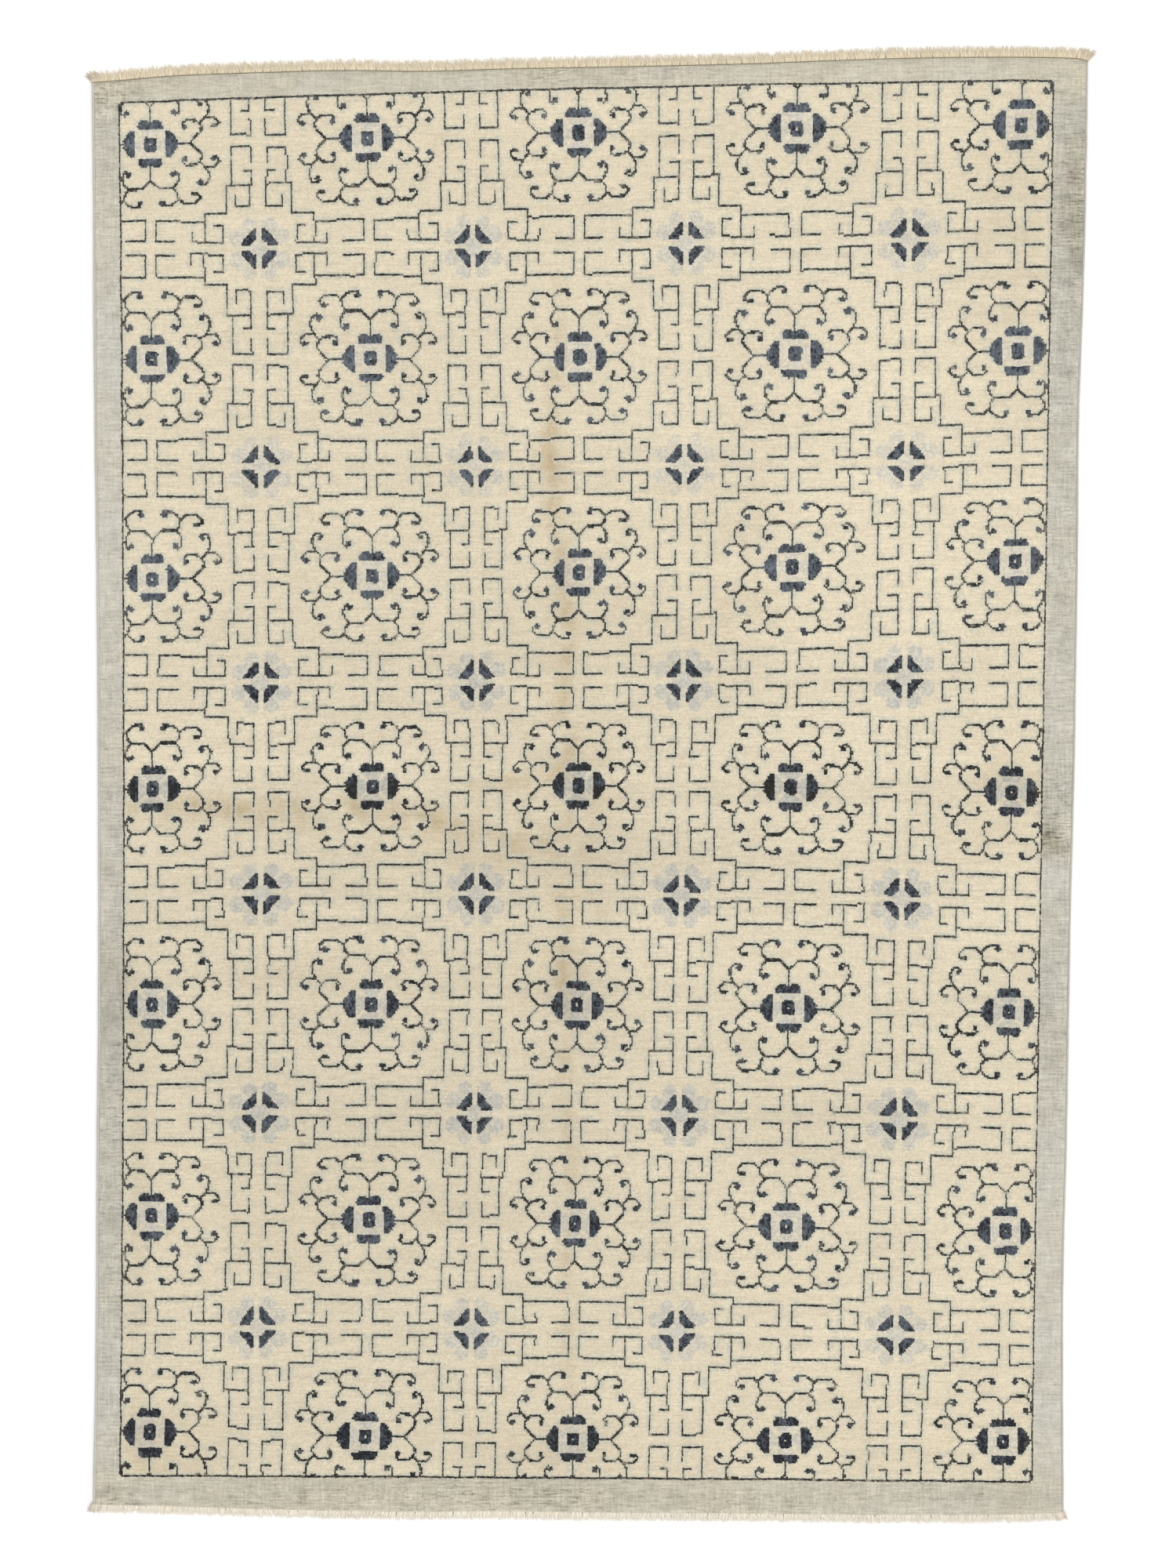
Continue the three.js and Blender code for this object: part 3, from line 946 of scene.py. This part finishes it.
class Nodes:
    """Short calls that add and join the nodes of one material."""

    def __init__(self, name):
        self.material = bpy.data.materials.new(name)
        self.material.use_nodes = True
        self.tree = self.material.node_tree
        self.shader = self.tree.nodes["Principled BSDF"]
        # metres in the rug's own frame
        self.place = self.add("ShaderNodeTexCoord", output="Object")

    def give(self, socket, value):
        """A value for a socket: a term is linked, and anything else is set on it."""
        if isinstance(value, Term):
            self.tree.links.new(value.socket, socket)
        elif socket.type == "RGBA":
            socket.default_value = (*value, 1.0)
        elif value is not None:
            socket.default_value = value

    def add(self, kind, inputs=None, output=0, **settings):
        """What a new node of a kind works out, from its settings and its inputs by name or number."""
        node = self.tree.nodes.new(kind)
        for key, setting in settings.items():
            setattr(node, key, setting)
        for key, value in (inputs or {}).items():
            self.give(node.inputs[key], value)
        return Term(self, node.outputs[output])

    def maths(self, operation, first, second=None):
        """One step of arithmetic."""
        return self.add("ShaderNodeMath", {0: first, 1: second}, operation=operation)

    def vector(self, operation, first, second=None):
        """One step of arithmetic on vectors."""
        return self.add("ShaderNodeVectorMath", {0: first, 1: second}, operation=operation)

    def mix(self, share, first, second, blend="MIX"):
        """A colour between two colours, with the share kept from 0 to 1."""
        inputs = {0: share, 6: first, 7: second}
        return self.add("ShaderNodeMix", inputs, 2, data_type="RGBA", blend_type=blend)

    def layered(self, colour, *layers):
        """A colour with others laid over it in turn, each given with its share before it."""
        for share, over in layers:
            colour = self.mix(share, colour, over)
        return colour

    def ramp(self, value, low, high):
        """A number spread from low and high to 0 and 1, and kept between them."""
        return self.add("ShaderNodeMapRange", {0: value, 1: low, 2: high}, interpolation_type="SMOOTHSTEP")

    def noise(self, scale, stretch=(1, 1, 1), detail=2.0, output="Fac"):
        """Noise of a scale in features per metre, stretched by a factor for each axis."""
        place = self.vector("MULTIPLY", self.place, stretch)
        return self.add("ShaderNodeTexNoise", {"Vector": place, "Scale": scale, "Detail": detail}, output)

    def patches(self, scale, low, high, stretch=(1, 1, 1), detail=2.0):
        """Noise spread from low and high to 0 and 1, which makes patches of it."""
        return self.ramp(self.noise(scale, stretch, detail), low, high)

    def attribute(self, name):
        """A named number of the piece."""
        return self.add("ShaderNodeAttribute", output="Fac", attribute_name=name)

    def map_of(self, name):
        """A UV map of the piece."""
        return self.add("ShaderNodeUVMap", uv_map=name)

    def parts(self, vector):
        """The three numbers of a vector."""
        first = self.add("ShaderNodeSeparateXYZ", {0: vector})
        return [Term(self, socket) for socket in first.socket.node.outputs]

    def finish(self, colour, roughness, height, depth, specular=0.5, sheen=0.0):
        """Joins a colour, a roughness and a height in metres times depth to the shader."""
        bump = self.add("ShaderNodeBump", {"Height": height, "Distance": depth, "Strength": 1.0})
        inputs = {"Base Color": colour, "Roughness": roughness, "Normal": bump}
        inputs |= {"Specular IOR Level": specular, "Sheen Weight": sheen}
        for name, value in inputs.items():
            self.give(self.shader.inputs[name], value)
        return self.material


def knots_drawn(n, looks, knots):
    """The frayed place in knots under a point, and whether its knot is navy, pale and tinted.

    The knot is the whole part of the map named knots, once noise has frayed it. Its place among the knots
    that its face knows gives a power of two, and the face's number divided by that, whole and odd or even,
    says whether the knot is in a plane. The drawing's dark wool leans up and down over its neighbours, so
    it is looked up a little above and a little below.
    """
    centre = (0.5, 0.5, 0.5)
    sway, fuzz = [n.vector("SUBTRACT", n.noise(scale, output="Color"), centre) for scale in (210, 800)]
    across, along, _ = n.parts(knots)

    def strayed(*reaches):
        """How far a point is moved before its knot is looked up, from how far sway and fuzz each reach."""
        moves = [n.vector("MULTIPLY", noise, (reach,) * 3) for noise, reach in zip((sway, fuzz), reaches)]
        return n.vector("ADD", *moves)

    def among_known(number, shift):
        """The place among the knots that a face knows, after fraying."""
        first = n.maths("FLOOR", number / KNOTS_A_FACE) * KNOTS_A_FACE
        inside = n.maths("MAXIMUM", number - first + (shift + 1.0), 0.001)
        return n.maths("FLOOR", n.maths("MINIMUM", inside, KNOWN_KNOTS - 0.001))

    def holds(name, offset, lift=0.0):
        """1 where the knot is in the named plane, looked up at an offset in knots and lifted a little."""
        off_x, off_y, _ = n.parts(offset)
        column = among_known(across, off_x)
        row = among_known(along, off_y + lift)
        upper = row > HALF_ROWS - 0.5
        power = 2.0 ** ((row - upper * HALF_ROWS) * KNOWN_KNOTS + column)
        low, high = n.attribute(f"{name}_lower"), n.attribute(f"{name}_upper")
        number = low + upper * (high - low)
        return n.maths("FLOOR", (number + 0.5) / power) % 2.0

    fray = strayed(looks.sway, looks.fuzz)
    loose = strayed(looks.loose_sway, looks.loose_fuzz)
    navy = n.maths("MAXIMUM", holds("navy", fray, looks.lean), holds("navy", fray, -looks.lean))
    return n.vector("ADD", knots, fray), navy, holds("pale", loose), holds("tinted", loose)


def ground_wool(n, looks, patch, tinted):
    """Ivory wool, tanned by soiling, with dull clouds, brownish threads and specks, and tinted by navy."""
    soil = n.attribute("soil") + n.attribute("folded") * looks.fold_depth
    deep = n.maths("MINIMUM", soil * n.ramp(patch, 0.22, 0.78), 1.0)
    return n.layered(
        looks.ivory,
        (deep, looks.soiled_ivory),
        (n.patches(4.5, 0.3, 0.72) * 0.35, looks.dull_ivory),
        (n.patches(190, 0.52, 0.78, (0.25, 1, 1), 3.0) * (deep * 0.9 + 0.45), looks.thread_tan),
        (n.patches(260, 0.68, 0.78, detail=1.0) * 0.45, looks.speck),
        (tinted * looks.halo_strength, looks.halo),
    )


def pale_wool(n, looks, single, lively):
    """How strong the pale blue-grey wool of the squares and cloud lobes is, and its colour, knot by knot."""
    depth = n.attribute("pale_depth")
    worn = n.patches(70, 0.25, 0.75, (0.4, 1, 1), 3.0)
    faded = (single - 0.5) * 0.6 + (lively - 0.5) * 1.6 + 0.5
    light = n.mix(depth, looks.pale_blue, looks.pale_dull)
    return depth * 0.55 + worn * 0.2 + 0.15, n.mix(faded, looks.pale_grey, light)


def border_wool(n, looks, patch, rubbed):
    """Grey wool, mottled, with short dashes along the rows."""
    _, along_rug, _ = n.parts(n.place)
    at_end = n.ramp(abs(along_rug), END_BORDER, END_BORDER + 40 * MM)
    return n.layered(
        looks.border_grey,
        (rubbed * n.ramp(patch, 0.15, 0.7) * 0.55, looks.rubbed_grey),
        (at_end * 0.5 + n.patches(7, 0.3, 0.7, detail=3.0) * 0.45, looks.warm_grey),
        (n.patches(300, 0.54, 0.66, (0.25, 1, 1)) * (rubbed * 0.36 + 0.13), looks.dash_brown),
    )


def dark_wool(n, looks, filled, single, lively):
    """Slate to navy in petals and near black in lines, knot by knot, with pale fibres over it."""
    blot = n.patches(26, 0.3, 0.7)
    depth = n.attribute("dye_depth") * 0.45 + (1.0 - filled) * 0.25 + (blot - 0.5) * 0.3
    depth = depth + (lively - 0.5) * -1.8 + (single - 0.5) * 0.55 + 0.53
    return n.layered(
        n.mix(depth, looks.line_grey, looks.line_black),
        (filled, n.mix(depth, looks.slate, looks.navy)),
        (n.patches(45, 0.5, 0.75) * 0.25, looks.green_black),
        (n.attribute("browned") * n.ramp(blot, 0.1, 0.8), looks.brown_black),
        (n.patches(900, 0.56, 0.78, (1.3, 0.7, 1), 1.0) * 0.42, looks.slate_light),
    )


def pile_tone(n, noises, rubbed, in_field):
    """How light the pile is: its streaks and grain, the crossed threads that show in the border, and painted
    light on the left rim.

    noises are the single knots' tones, the fibres and the streaks along the rows.
    """
    single, fibre, streak = noises
    bands = n.noise(60, (0.03, 1, 1))
    grain = n.noise(420, (0.7, 1, 1), 3.0)
    tone = streak * 0.34 + bands * 0.16 + grain * 0.44 + single * 0.11 + fibre * 0.42 + 0.265
    warps = n.noise(230, (1, 0.1, 1)) - 0.5
    wefts = n.noise(230, (0.1, 1, 1)) - 0.5
    mottle = n.noise(38, detail=4.0) - 0.5
    crossed = (warps * 0.36 + wefts * 0.44 + mottle * 0.34) * (rubbed * 0.8 + 1.0)
    tone = tone + crossed * (1.0 - in_field)
    # dingy stretches and the underside are darker, and the left rim gets painted light
    for name, share in {"dingy": -0.1, "underside": -0.1, "left_rim_painted_light": 0.26}.items():
        tone = tone * (n.attribute(name) * share + 1.0)
    return tone


def pile_material(looks):
    """Knotted wool pile: the drawing's knots, the wools that they are of, and their tone and relief."""
    n = Nodes("wool_pile")
    frayed, navy, pale, tinted = knots_drawn(n, looks, n.map_of("knots"))
    x, y, _ = n.parts(frayed)
    in_field = (x > GUARD["left"]) * (x < GUARD["right"] + 1)
    in_field = in_field * (y > GUARD["lower"]) * (y < GUARD["upper"] + 1)

    # what is left of a dark knot: an upright line is narrower than its knots, and lines are worn in places
    knot_x, knot_y, _ = n.parts(n.vector("FRACTION", frayed))
    filled, upright = n.attribute("filled"), n.attribute("upright")
    narrow = abs(knot_x - 0.5) > 0.5 - upright * looks.upright_narrowing
    faint = n.patches(95, 0.5, 0.72) * (1.0 - filled) * (upright * 0.25 + looks.line_wear)
    navy = navy * (1.0 - narrow) * (1.0 - faint)

    # the tone of each single knot and of a few knots together, fibres, streaks, and uneven patches
    cell = n.vector("FLOOR", frayed)
    single = n.add("ShaderNodeTexWhiteNoise", {"Vector": cell}, noise_dimensions="2D")
    lively = n.noise(160, (1.25, 0.7, 1), 4.0)
    fibre = n.noise(1000)
    streak = n.noise(330, (0.06, 1, 1), 3.0)
    patch = n.noise(16, detail=3.0)
    rubbed = n.attribute("rubbed")

    pale_strength, pale_colour = pale_wool(n, looks, single, lively)
    colour = n.mix(pale * pale_strength, ground_wool(n, looks, patch, tinted), pale_colour)
    colour = n.mix(in_field, border_wool(n, looks, patch, rubbed), colour)
    colour = n.mix(navy, colour, dark_wool(n, looks, filled, single, lively))
    colour = n.mix(1.0, colour, pile_tone(n, (single, fibre, streak), rubbed, in_field), "MULTIPLY")

    # relief: a small mound for each knot, and fibres
    mound = n.maths("SINE", knot_x * np.pi) * n.maths("SINE", knot_y * np.pi)
    lumps = n.noise(120, (0.6, 1, 1), 3.0)
    height = mound * 0.35 + fibre * 0.9 + lumps * 1.6 + streak * 0.5
    return n.finish(colour, fibre * 0.2 + 0.82, height, looks.relief, specular=0.2, sheen=0.12)


def cord_material(looks, name, lift):
    """Grey yarn wrapped round the side.

    Each turn is a slanted band of the map named thread, parted by a painted shadow line, with its own tone
    and fine fibres along it. Each side's yarn is multiplied by its own painted light, lighter on the left,
    darker on the right.
    """
    n = Nodes(name)
    turn, along, _ = n.parts(n.map_of("thread"))
    wraps = along / (looks.wrap_pitch / MM) + turn * WRAP_SLANT
    own = n.add("ShaderNodeTexWhiteNoise", {"W": n.maths("FLOOR", wraps)}, noise_dimensions="1D")
    rounded = n.maths("SINE", n.maths("FRACT", wraps) * np.pi)
    fibre = n.noise(1100)
    colour = n.layered(
        looks.cord_grey,
        (n.patches(9, 0.3, 0.7, detail=3.0), looks.cord_warm),
        (own * 0.3, looks.cord_light),
        (n.ramp(rounded, 0.55, 0.0) * 0.22, looks.cord_shadow),
        (fibre * 0.3, looks.cord_light),
    )
    # painted light: the whole yarn is made lighter or darker by its side's lift
    colour = n.mix(1.0, colour, (lift, lift, lift), "MULTIPLY")
    height = rounded * 0.8 + fibre * 0.5
    return n.finish(colour, fibre * 0.2 + 0.78, height, 0.5 * MM, specular=0.25, sheen=0.1)


def fringe_material(looks, name, cotton, cotton_light):
    """Cotton warp ends.

    They are cream, with painted shade between two tufts towards their roots, greyer at the corners, and a
    painted shadow line along the slanted ply round each strand.
    """
    n = Nodes(name)
    turn, along, _ = n.parts(n.map_of("thread"))
    # painted shade: the outer strands of each tuft are darker near the root, where two tufts part
    parted = n.ramp(n.attribute("tuft_side"), 0.55, 1.0) * n.ramp(n.attribute("reached"), 0.8, 0.1)
    ply = n.maths("SINE", (along * 0.55 + turn) * (4 * np.pi))
    colour = n.layered(
        cotton,
        (n.attribute("strand_tone"), cotton_light),
        (parted * looks.parting_shade, looks.cotton_shade),
        (n.attribute("corner_grey") * 0.85, looks.corner_cotton),
        # painted shadow in the groove of the ply
        (n.ramp(ply, 0.2, -1.0) * 0.1, looks.cotton_shade),
    )
    fibre = n.noise(1300)
    return n.finish(colour, fibre * 0.2 + 0.75, ply * 0.5 + fibre, 0.2 * MM, specular=0.25)


def strip_material(looks, name, colour):
    """The narrow woven strip between pile and fringe: brownish threads over and under each other, with
    painted shade between them.
    """
    n = Nodes(name)
    x, y, _ = n.parts(n.place)
    across, along = STRIP_THREADS
    weave = n.maths("SINE", x * (2 * np.pi / across)) * n.maths("SINE", y * (2 * np.pi / along))
    colour = n.layered(
        colour,
        (n.patches(90, 0.3, 0.7, detail=3.0), looks.strip_light),
        # painted shade in the hollows between threads
        (n.ramp(weave, 0.4, -0.6) * 0.4, looks.strip_thread_shade),
    )
    fibre = n.noise(1200)
    return n.finish(colour, fibre * 0.2 + 0.78, weave + fibre, 0.4 * MM)


def floor_material(looks):
    """Smooth pale studio floor with a faint unevenness."""
    n = Nodes("pale_floor")
    colour = n.mix(n.noise(3, detail=4.0) * 0.04, looks.floor, looks.floor_shade)
    fine = n.noise(400)
    return n.finish(colour, fine * 0.1 + 0.8, fine, 0.02 * MM)


def a_colour(name, description, *screen):
    """A colour that a user may change, given as it looks on a screen, from 0 to 255.

    The shader's own light values follow from the screen's curve: straight near black, and a power above.
    """
    parts = np.array(screen) / 255
    light = np.where(parts <= 0.04045, parts / 12.92, ((parts + 0.055) / 1.055) ** 2.4)
    return FloatVectorProperty(
        name=name, description=description, default=light.tolist(), subtype="COLOR", size=3, min=0, max=1
    )


def a_length(name, description, default):
    """A length that a user may change, in metres."""
    measure = {"unit": "LENGTH", "precision": 5}
    return FloatProperty(name=name, description=description, default=default, min=0, **measure)


def a_number(name, description, default, least=0):
    """A plain number that a user may change."""
    return FloatProperty(name=name, description=description, default=default, min=least)


class RugPileSettings(bpy.types.PropertyGroup):
    """Sizes and colours of the knotted pile."""

    line_half_width: a_number("Line half width", "Half the width of a drawn line, in knots", 0.5, 0.5)
    vine_half_width: a_number("Vine half width", "Half the width of a vine, in knots", 0.6, 0.5)
    chart_wander: a_number("Chart wander", "How far a copy strays from the chart, in knots", 0.55)
    cloth_sway: a_length("Cloth sway", "How far the rows and columns of knots sway", 0.9 * MM)
    pile_unevenness: a_length("Pile unevenness", "How far the pile sinks in places", 0.5 * MM)
    rim_roughness: a_length("Rim roughness", "How rough the rim of the pile is", 0.35 * MM)
    sway: a_number("Sway", "How far lines of knots sway, in knots", 1.2)
    fuzz: a_number("Fuzz", "How far fibres stray, in knots", 1.5)
    loose_sway: a_number("Loose sway", "How far the pale shapes' edges sway, in knots", 3.0)
    loose_fuzz: a_number("Loose fuzz", "How far the pale shapes' fibres stray, in knots", 3.0)
    lean: a_number("Lean", "How far dark wool leans over its neighbours, in knots", 0.12)
    upright_narrowing: a_number("Upright narrowing", "What an upright line loses a side, in knots", 0.09)
    line_wear: a_number("Line wear", "How far lines fade where they are worn, from 0 to 1", 0.34)
    halo_strength: a_number("Halo strength", "How strongly ground beside dark wool is tinted", 0.75)
    relief: a_length("Relief", "Height of the knots' mounds and fibres", 0.5 * MM)
    fold_reach: a_length("Fold reach", "How far a fold mark spreads on each side", 15 * MM)
    fold_depth: a_number("Fold depth", "How dark the fold marks are, from 0 to 1", 0.62)
    ivory: a_colour("Ivory", "Clean ground wool", 226, 214, 188)
    dull_ivory: a_colour("Dull ivory", "Ground wool in dull clouds", 214, 202, 177)
    soiled_ivory: a_colour("Soiled ivory", "Ground wool in stains and fold marks", 190, 169, 131)
    thread_tan: a_colour("Thread tan", "Brownish threads of the ground", 206, 187, 153)
    speck: a_colour("Speck", "Tan specks of the ground", 180, 157, 122)
    pale_blue: a_colour("Pale blue", "Faded wool of the squares and cloud lobes", 206, 214, 219)
    pale_dull: a_colour("Pale dull", "The same where it is stronger and soiled", 189, 188, 176)
    pale_grey: a_colour("Pale grey", "Darker wool of the squares and cloud lobes", 154, 160, 160)
    border_grey: a_colour("Border grey", "Border wool", 203, 199, 187)
    warm_grey: a_colour("Warm grey", "Border wool in warmer stretches", 200, 193, 172)
    rubbed_grey: a_colour("Rubbed grey", "Border wool where it is rubbed or soiled", 150, 145, 128)
    dash_brown: a_colour("Dash brown", "Short dark dashes of the border", 124, 120, 106)
    navy: a_colour("Navy", "Deepest dye of the petals", 24, 28, 36)
    slate: a_colour("Slate", "Faded dye of the petals", 117, 125, 134)
    slate_light: a_colour("Light slate", "Stray light fibres in the drawing", 148, 151, 148)
    line_black: a_colour("Line black", "Deepest dye of the drawn lines", 27, 26, 24)
    line_grey: a_colour("Line grey", "Faded dye of the drawn lines", 106, 106, 100)
    halo: a_colour("Halo", "Ground wool tinted beside the drawing", 199, 199, 183)
    green_black: a_colour("Green black", "Dye turned greenish", 44, 48, 45)
    brown_black: a_colour("Brown black", "Dye turned brown", 36, 33, 27)


class RugCordSettings(bpy.types.PropertyGroup):
    """Sizes and colours of the overcast side cords."""

    wrap_pitch: a_length("Wrap pitch", "From one turn of yarn to the next", 2.8 * MM)
    wrap_relief: a_length("Wrap relief", "How far a turn of yarn stands out", 0.14 * MM)
    cord_grey: a_colour("Cord grey", "Wrapped yarn", 193, 192, 185)
    cord_warm: a_colour("Cord warm", "Wrapped yarn in warmer stretches", 186, 180, 166)
    cord_light: a_colour("Cord light", "Fibres that catch the light", 222, 219, 208)
    cord_shadow: a_colour("Cord shadow", "Between two turns", 128, 122, 108)
    # painted light: the two cords are one yarn, painted lighter on the left and darker on the right
    left_cord_painted_light: a_number("Left lift", "How much lighter the left cord's yarn is", 1.08)
    right_cord_painted_light: a_number("Right lift", "How much lighter the right cord's yarn is", 0.95)


class RugFringeSettings(bpy.types.PropertyGroup):
    """Sizes and colours of the two fringes."""

    tufts: IntProperty(name="Tufts", description="Tufts of warp ends at one end", default=256, min=8)
    strands: IntProperty(name="Strands", description="Strands in a tuft", default=16, min=1)
    lower_length: a_length("Lower length", "Length of the lower fringe", 17 * MM)
    upper_length: a_length("Upper length", "Length of the upper fringe", 23 * MM)
    strand_thickness: a_length("Strand thickness", "Thickness of a strand", 1.0 * MM)
    # painted shade between the tufts, towards their roots
    parting_shade: a_number("Parting", "How dark tufts are along their partings, from 0 to 1", 0.3)
    cotton_upper: a_colour("Upper cotton", "Warp ends of the upper end", 253, 235, 202)
    light_upper: a_colour("Upper light cotton", "Lighter warp ends of the upper end", 255, 247, 221)
    cotton_lower: a_colour("Lower cotton", "Warp ends of the lower end", 254, 243, 222)
    light_lower: a_colour("Lower light cotton", "Lighter warp ends of the lower end", 255, 251, 238)
    # colour of the painted shade in the partings and along the ply lines
    cotton_shade: a_colour("Cotton root", "Warp ends in the partings", 186, 164, 130)
    corner_cotton: a_colour("Corner cotton", "Greyish ends at the corners", 212, 198, 178)
    # darker than the lower strip: partly browner yarn, partly painted shade where the pile's upper edge
    # shadows it
    strip_upper_with_shade: a_colour("Upper strip", "Woven strip at the upper end", 220, 206, 182)
    strip_lower: a_colour("Lower strip", "Woven strip at the lower end", 236, 226, 206)
    strip_light: a_colour("Strip light", "Lighter threads of the strips", 206, 193, 168)
    # painted shade between the threads of both strips
    strip_thread_shade: a_colour("Strip dark", "Between the threads of the strips", 134, 120, 96)


class RugStageSettings(bpy.types.PropertyGroup):
    """The studio round the rug."""

    view_height: a_length("View height", "What the photograph takes in from bottom to top", 2.940)
    lens: a_number("Lens", "Focal length in millimetres", 100, 10)
    view_x: a_length("View x", "How far left of the middle the camera stands", 0.0041)
    view_y: a_length("View y", "How far up from the middle the camera stands", 0.0025)
    sky: a_number("Sky", "Strength of the even light", 0.66)
    sun: a_number("Sun", "Strength of the soft slanting light", 1.62)
    floor: a_colour("Floor", "Studio floor", 250, 250, 249)
    floor_shade: a_colour("Floor shade", "Studio floor in its darker places", 236, 236, 234)


class RUG_OT_stage(bpy.types.Operator):
    """Set up the floor, the soft light and the camera straight above the rug"""

    bl_idname = "rug.stage"
    bl_label = "Stage"

    def execute(self, context):
        looks = context.scene.rug_stage
        scene = context.scene
        corners = np.array([(-1, -1, 0), (1, -1, 0), (1, 1, 0), (-1, 1, 0)]) * FLOOR_REACH
        floor = new_piece("studio_floor", corners, [np.array([[0, 1, 2, 3]])], floor_material(looks))

        world = bpy.data.worlds.new("studio_light")
        world.use_nodes = True
        background = world.node_tree.nodes["Background"]
        background.inputs[0].default_value = (1.0, 1.0, 1.0, 1.0)
        background.inputs[1].default_value = looks.sky
        scene.world = world

        sun = bpy.data.lights.new("soft_sun", "SUN")
        sun.energy = looks.sun
        sun.angle = SUN_SPREAD
        lamp = bpy.data.objects.new("soft_sun", sun)
        lamp.rotation_euler = Vector(SUN_FALL).to_track_quat("-Z", "Y").to_euler()
        scene.collection.objects.link(lamp)

        data = bpy.data.cameras.new("photo_view")
        data.sensor_width = 36.0
        data.lens = looks.lens
        data.clip_end = 60.0
        camera = bpy.data.objects.new("photo_view", data)
        distance = looks.view_height * looks.lens / data.sensor_width
        camera.location = (-looks.view_x, looks.view_y, distance)
        scene.collection.objects.link(camera)
        scene.camera = camera
        scene.view_settings.view_transform = "Standard"
        scene.view_settings.look = "None"
        return {"FINISHED"}


class RUG_OT_pile(bpy.types.Operator):
    """Knot the pile with its chart, border and wear"""

    bl_idname = "rug.pile"
    bl_label = "Knotted pile"

    def execute(self, context):
        looks = context.scene.rug_pile
        piece = pile_piece(looks, pile_material(looks))
        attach(piece, "root")
        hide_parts("rug_body")
        return {"FINISHED"}


class RUG_OT_cords(bpy.types.Operator):
    """Overcast the two sides"""

    bl_idname = "rug.cords"
    bl_label = "Side cords"

    def execute(self, context):
        looks = context.scene.rug_cords
        # each side gets its own copy of the yarn, with its painted light
        for u, (side, lift) in enumerate((("left", looks.left_cord_painted_light), ("right", looks.right_cord_painted_light))):
            material = cord_material(looks, f"overcast_yarn_painted_light_{side}", lift)
            piece = side_cord(f"overcast_{side}", u, looks, material)
            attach(piece, "root")
            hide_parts(f"selvage_{side}")
        return {"FINISHED"}


class RUG_OT_fringes(bpy.types.Operator):
    """Lay out the warp ends and their woven strips at both ends"""

    bl_idname = "rug.fringes"
    bl_label = "Fringes"

    def execute(self, context):
        looks = context.scene.rug_fringes
        colours = {
            "lower": (looks.strip_lower, looks.cotton_lower, looks.light_lower),
            # the upper strip's colour holds painted shade from the pile's edge as well as its own browner
            # yarn
            "upper": (looks.strip_upper_with_shade, looks.cotton_upper, looks.light_upper),
        }
        for end, (colour, cotton, cotton_light) in colours.items():
            material = fringe_material(looks, f"cotton_strands_{end}", cotton, cotton_light)
            piece = fringe_piece(f"warp_ends_{end}", end, looks, material)
            edging = strip_material(looks, f"woven_strip_{end}", colour)
            strip = woven_strip(end)
            middle = strip.mean(1)
            ends = (middle[:1], middle[-1:])
            band = carried_profile(f"end_strip_{end}", strip[None], *ends, edging, columns=16)
            for part in (piece, band):
                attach(part, "root")
            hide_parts(f"fringe_{end}")
        return {"FINISHED"}


class RUG_PT_panel(bpy.types.Panel):
    """The rug's operators and settings"""

    bl_idname = "RUG_PT_panel"
    bl_label = "Knotted rug"
    bl_space_type = "VIEW_3D"
    bl_region_type = "UI"
    bl_category = "Rug"

    def draw(self, context):
        for operator in OPERATORS:
            self.layout.operator(operator.bl_idname)
        for name, group in SETTINGS.items():
            box = self.layout.box()
            for key in group.__annotations__:
                box.prop(getattr(context.scene, name), key)


SETTINGS = {
    "rug_stage": RugStageSettings,
    "rug_pile": RugPileSettings,
    "rug_cords": RugCordSettings,
    "rug_fringes": RugFringeSettings,
}
OPERATORS = (RUG_OT_stage, RUG_OT_pile, RUG_OT_cords, RUG_OT_fringes)


def register():
    """Registers the settings, the operators and the panel."""
    for kind in (*SETTINGS.values(), *OPERATORS, RUG_PT_panel):
        bpy.utils.register_class(kind)
    for name, group in SETTINGS.items():
        setattr(bpy.types.Scene, name, PointerProperty(type=group))


def unregister():
    """Takes back what register did."""
    for name in SETTINGS:
        delattr(bpy.types.Scene, name)
    for kind in (RUG_PT_panel, *reversed(OPERATORS), *reversed(tuple(SETTINGS.values()))):
        bpy.utils.unregister_class(kind)


def declare_sheet():
    """Lists the names of the two cords, the warp ends and the end strips, and does nothing with the list."""
    names = ["overcast_left", "overcast_right"]
    names += [f"{kind}_{end}" for kind in ("warp_ends", "end_strip") for end in ("lower", "upper")]


def main():
    """Makes the whole rug and its stage."""
    register()
    bpy.ops.rug.stage()
    bpy.ops.rug.pile()
    bpy.ops.rug.cords()
    bpy.ops.rug.fringes()
    declare_sheet()


if __name__ == "__main__":
    main()
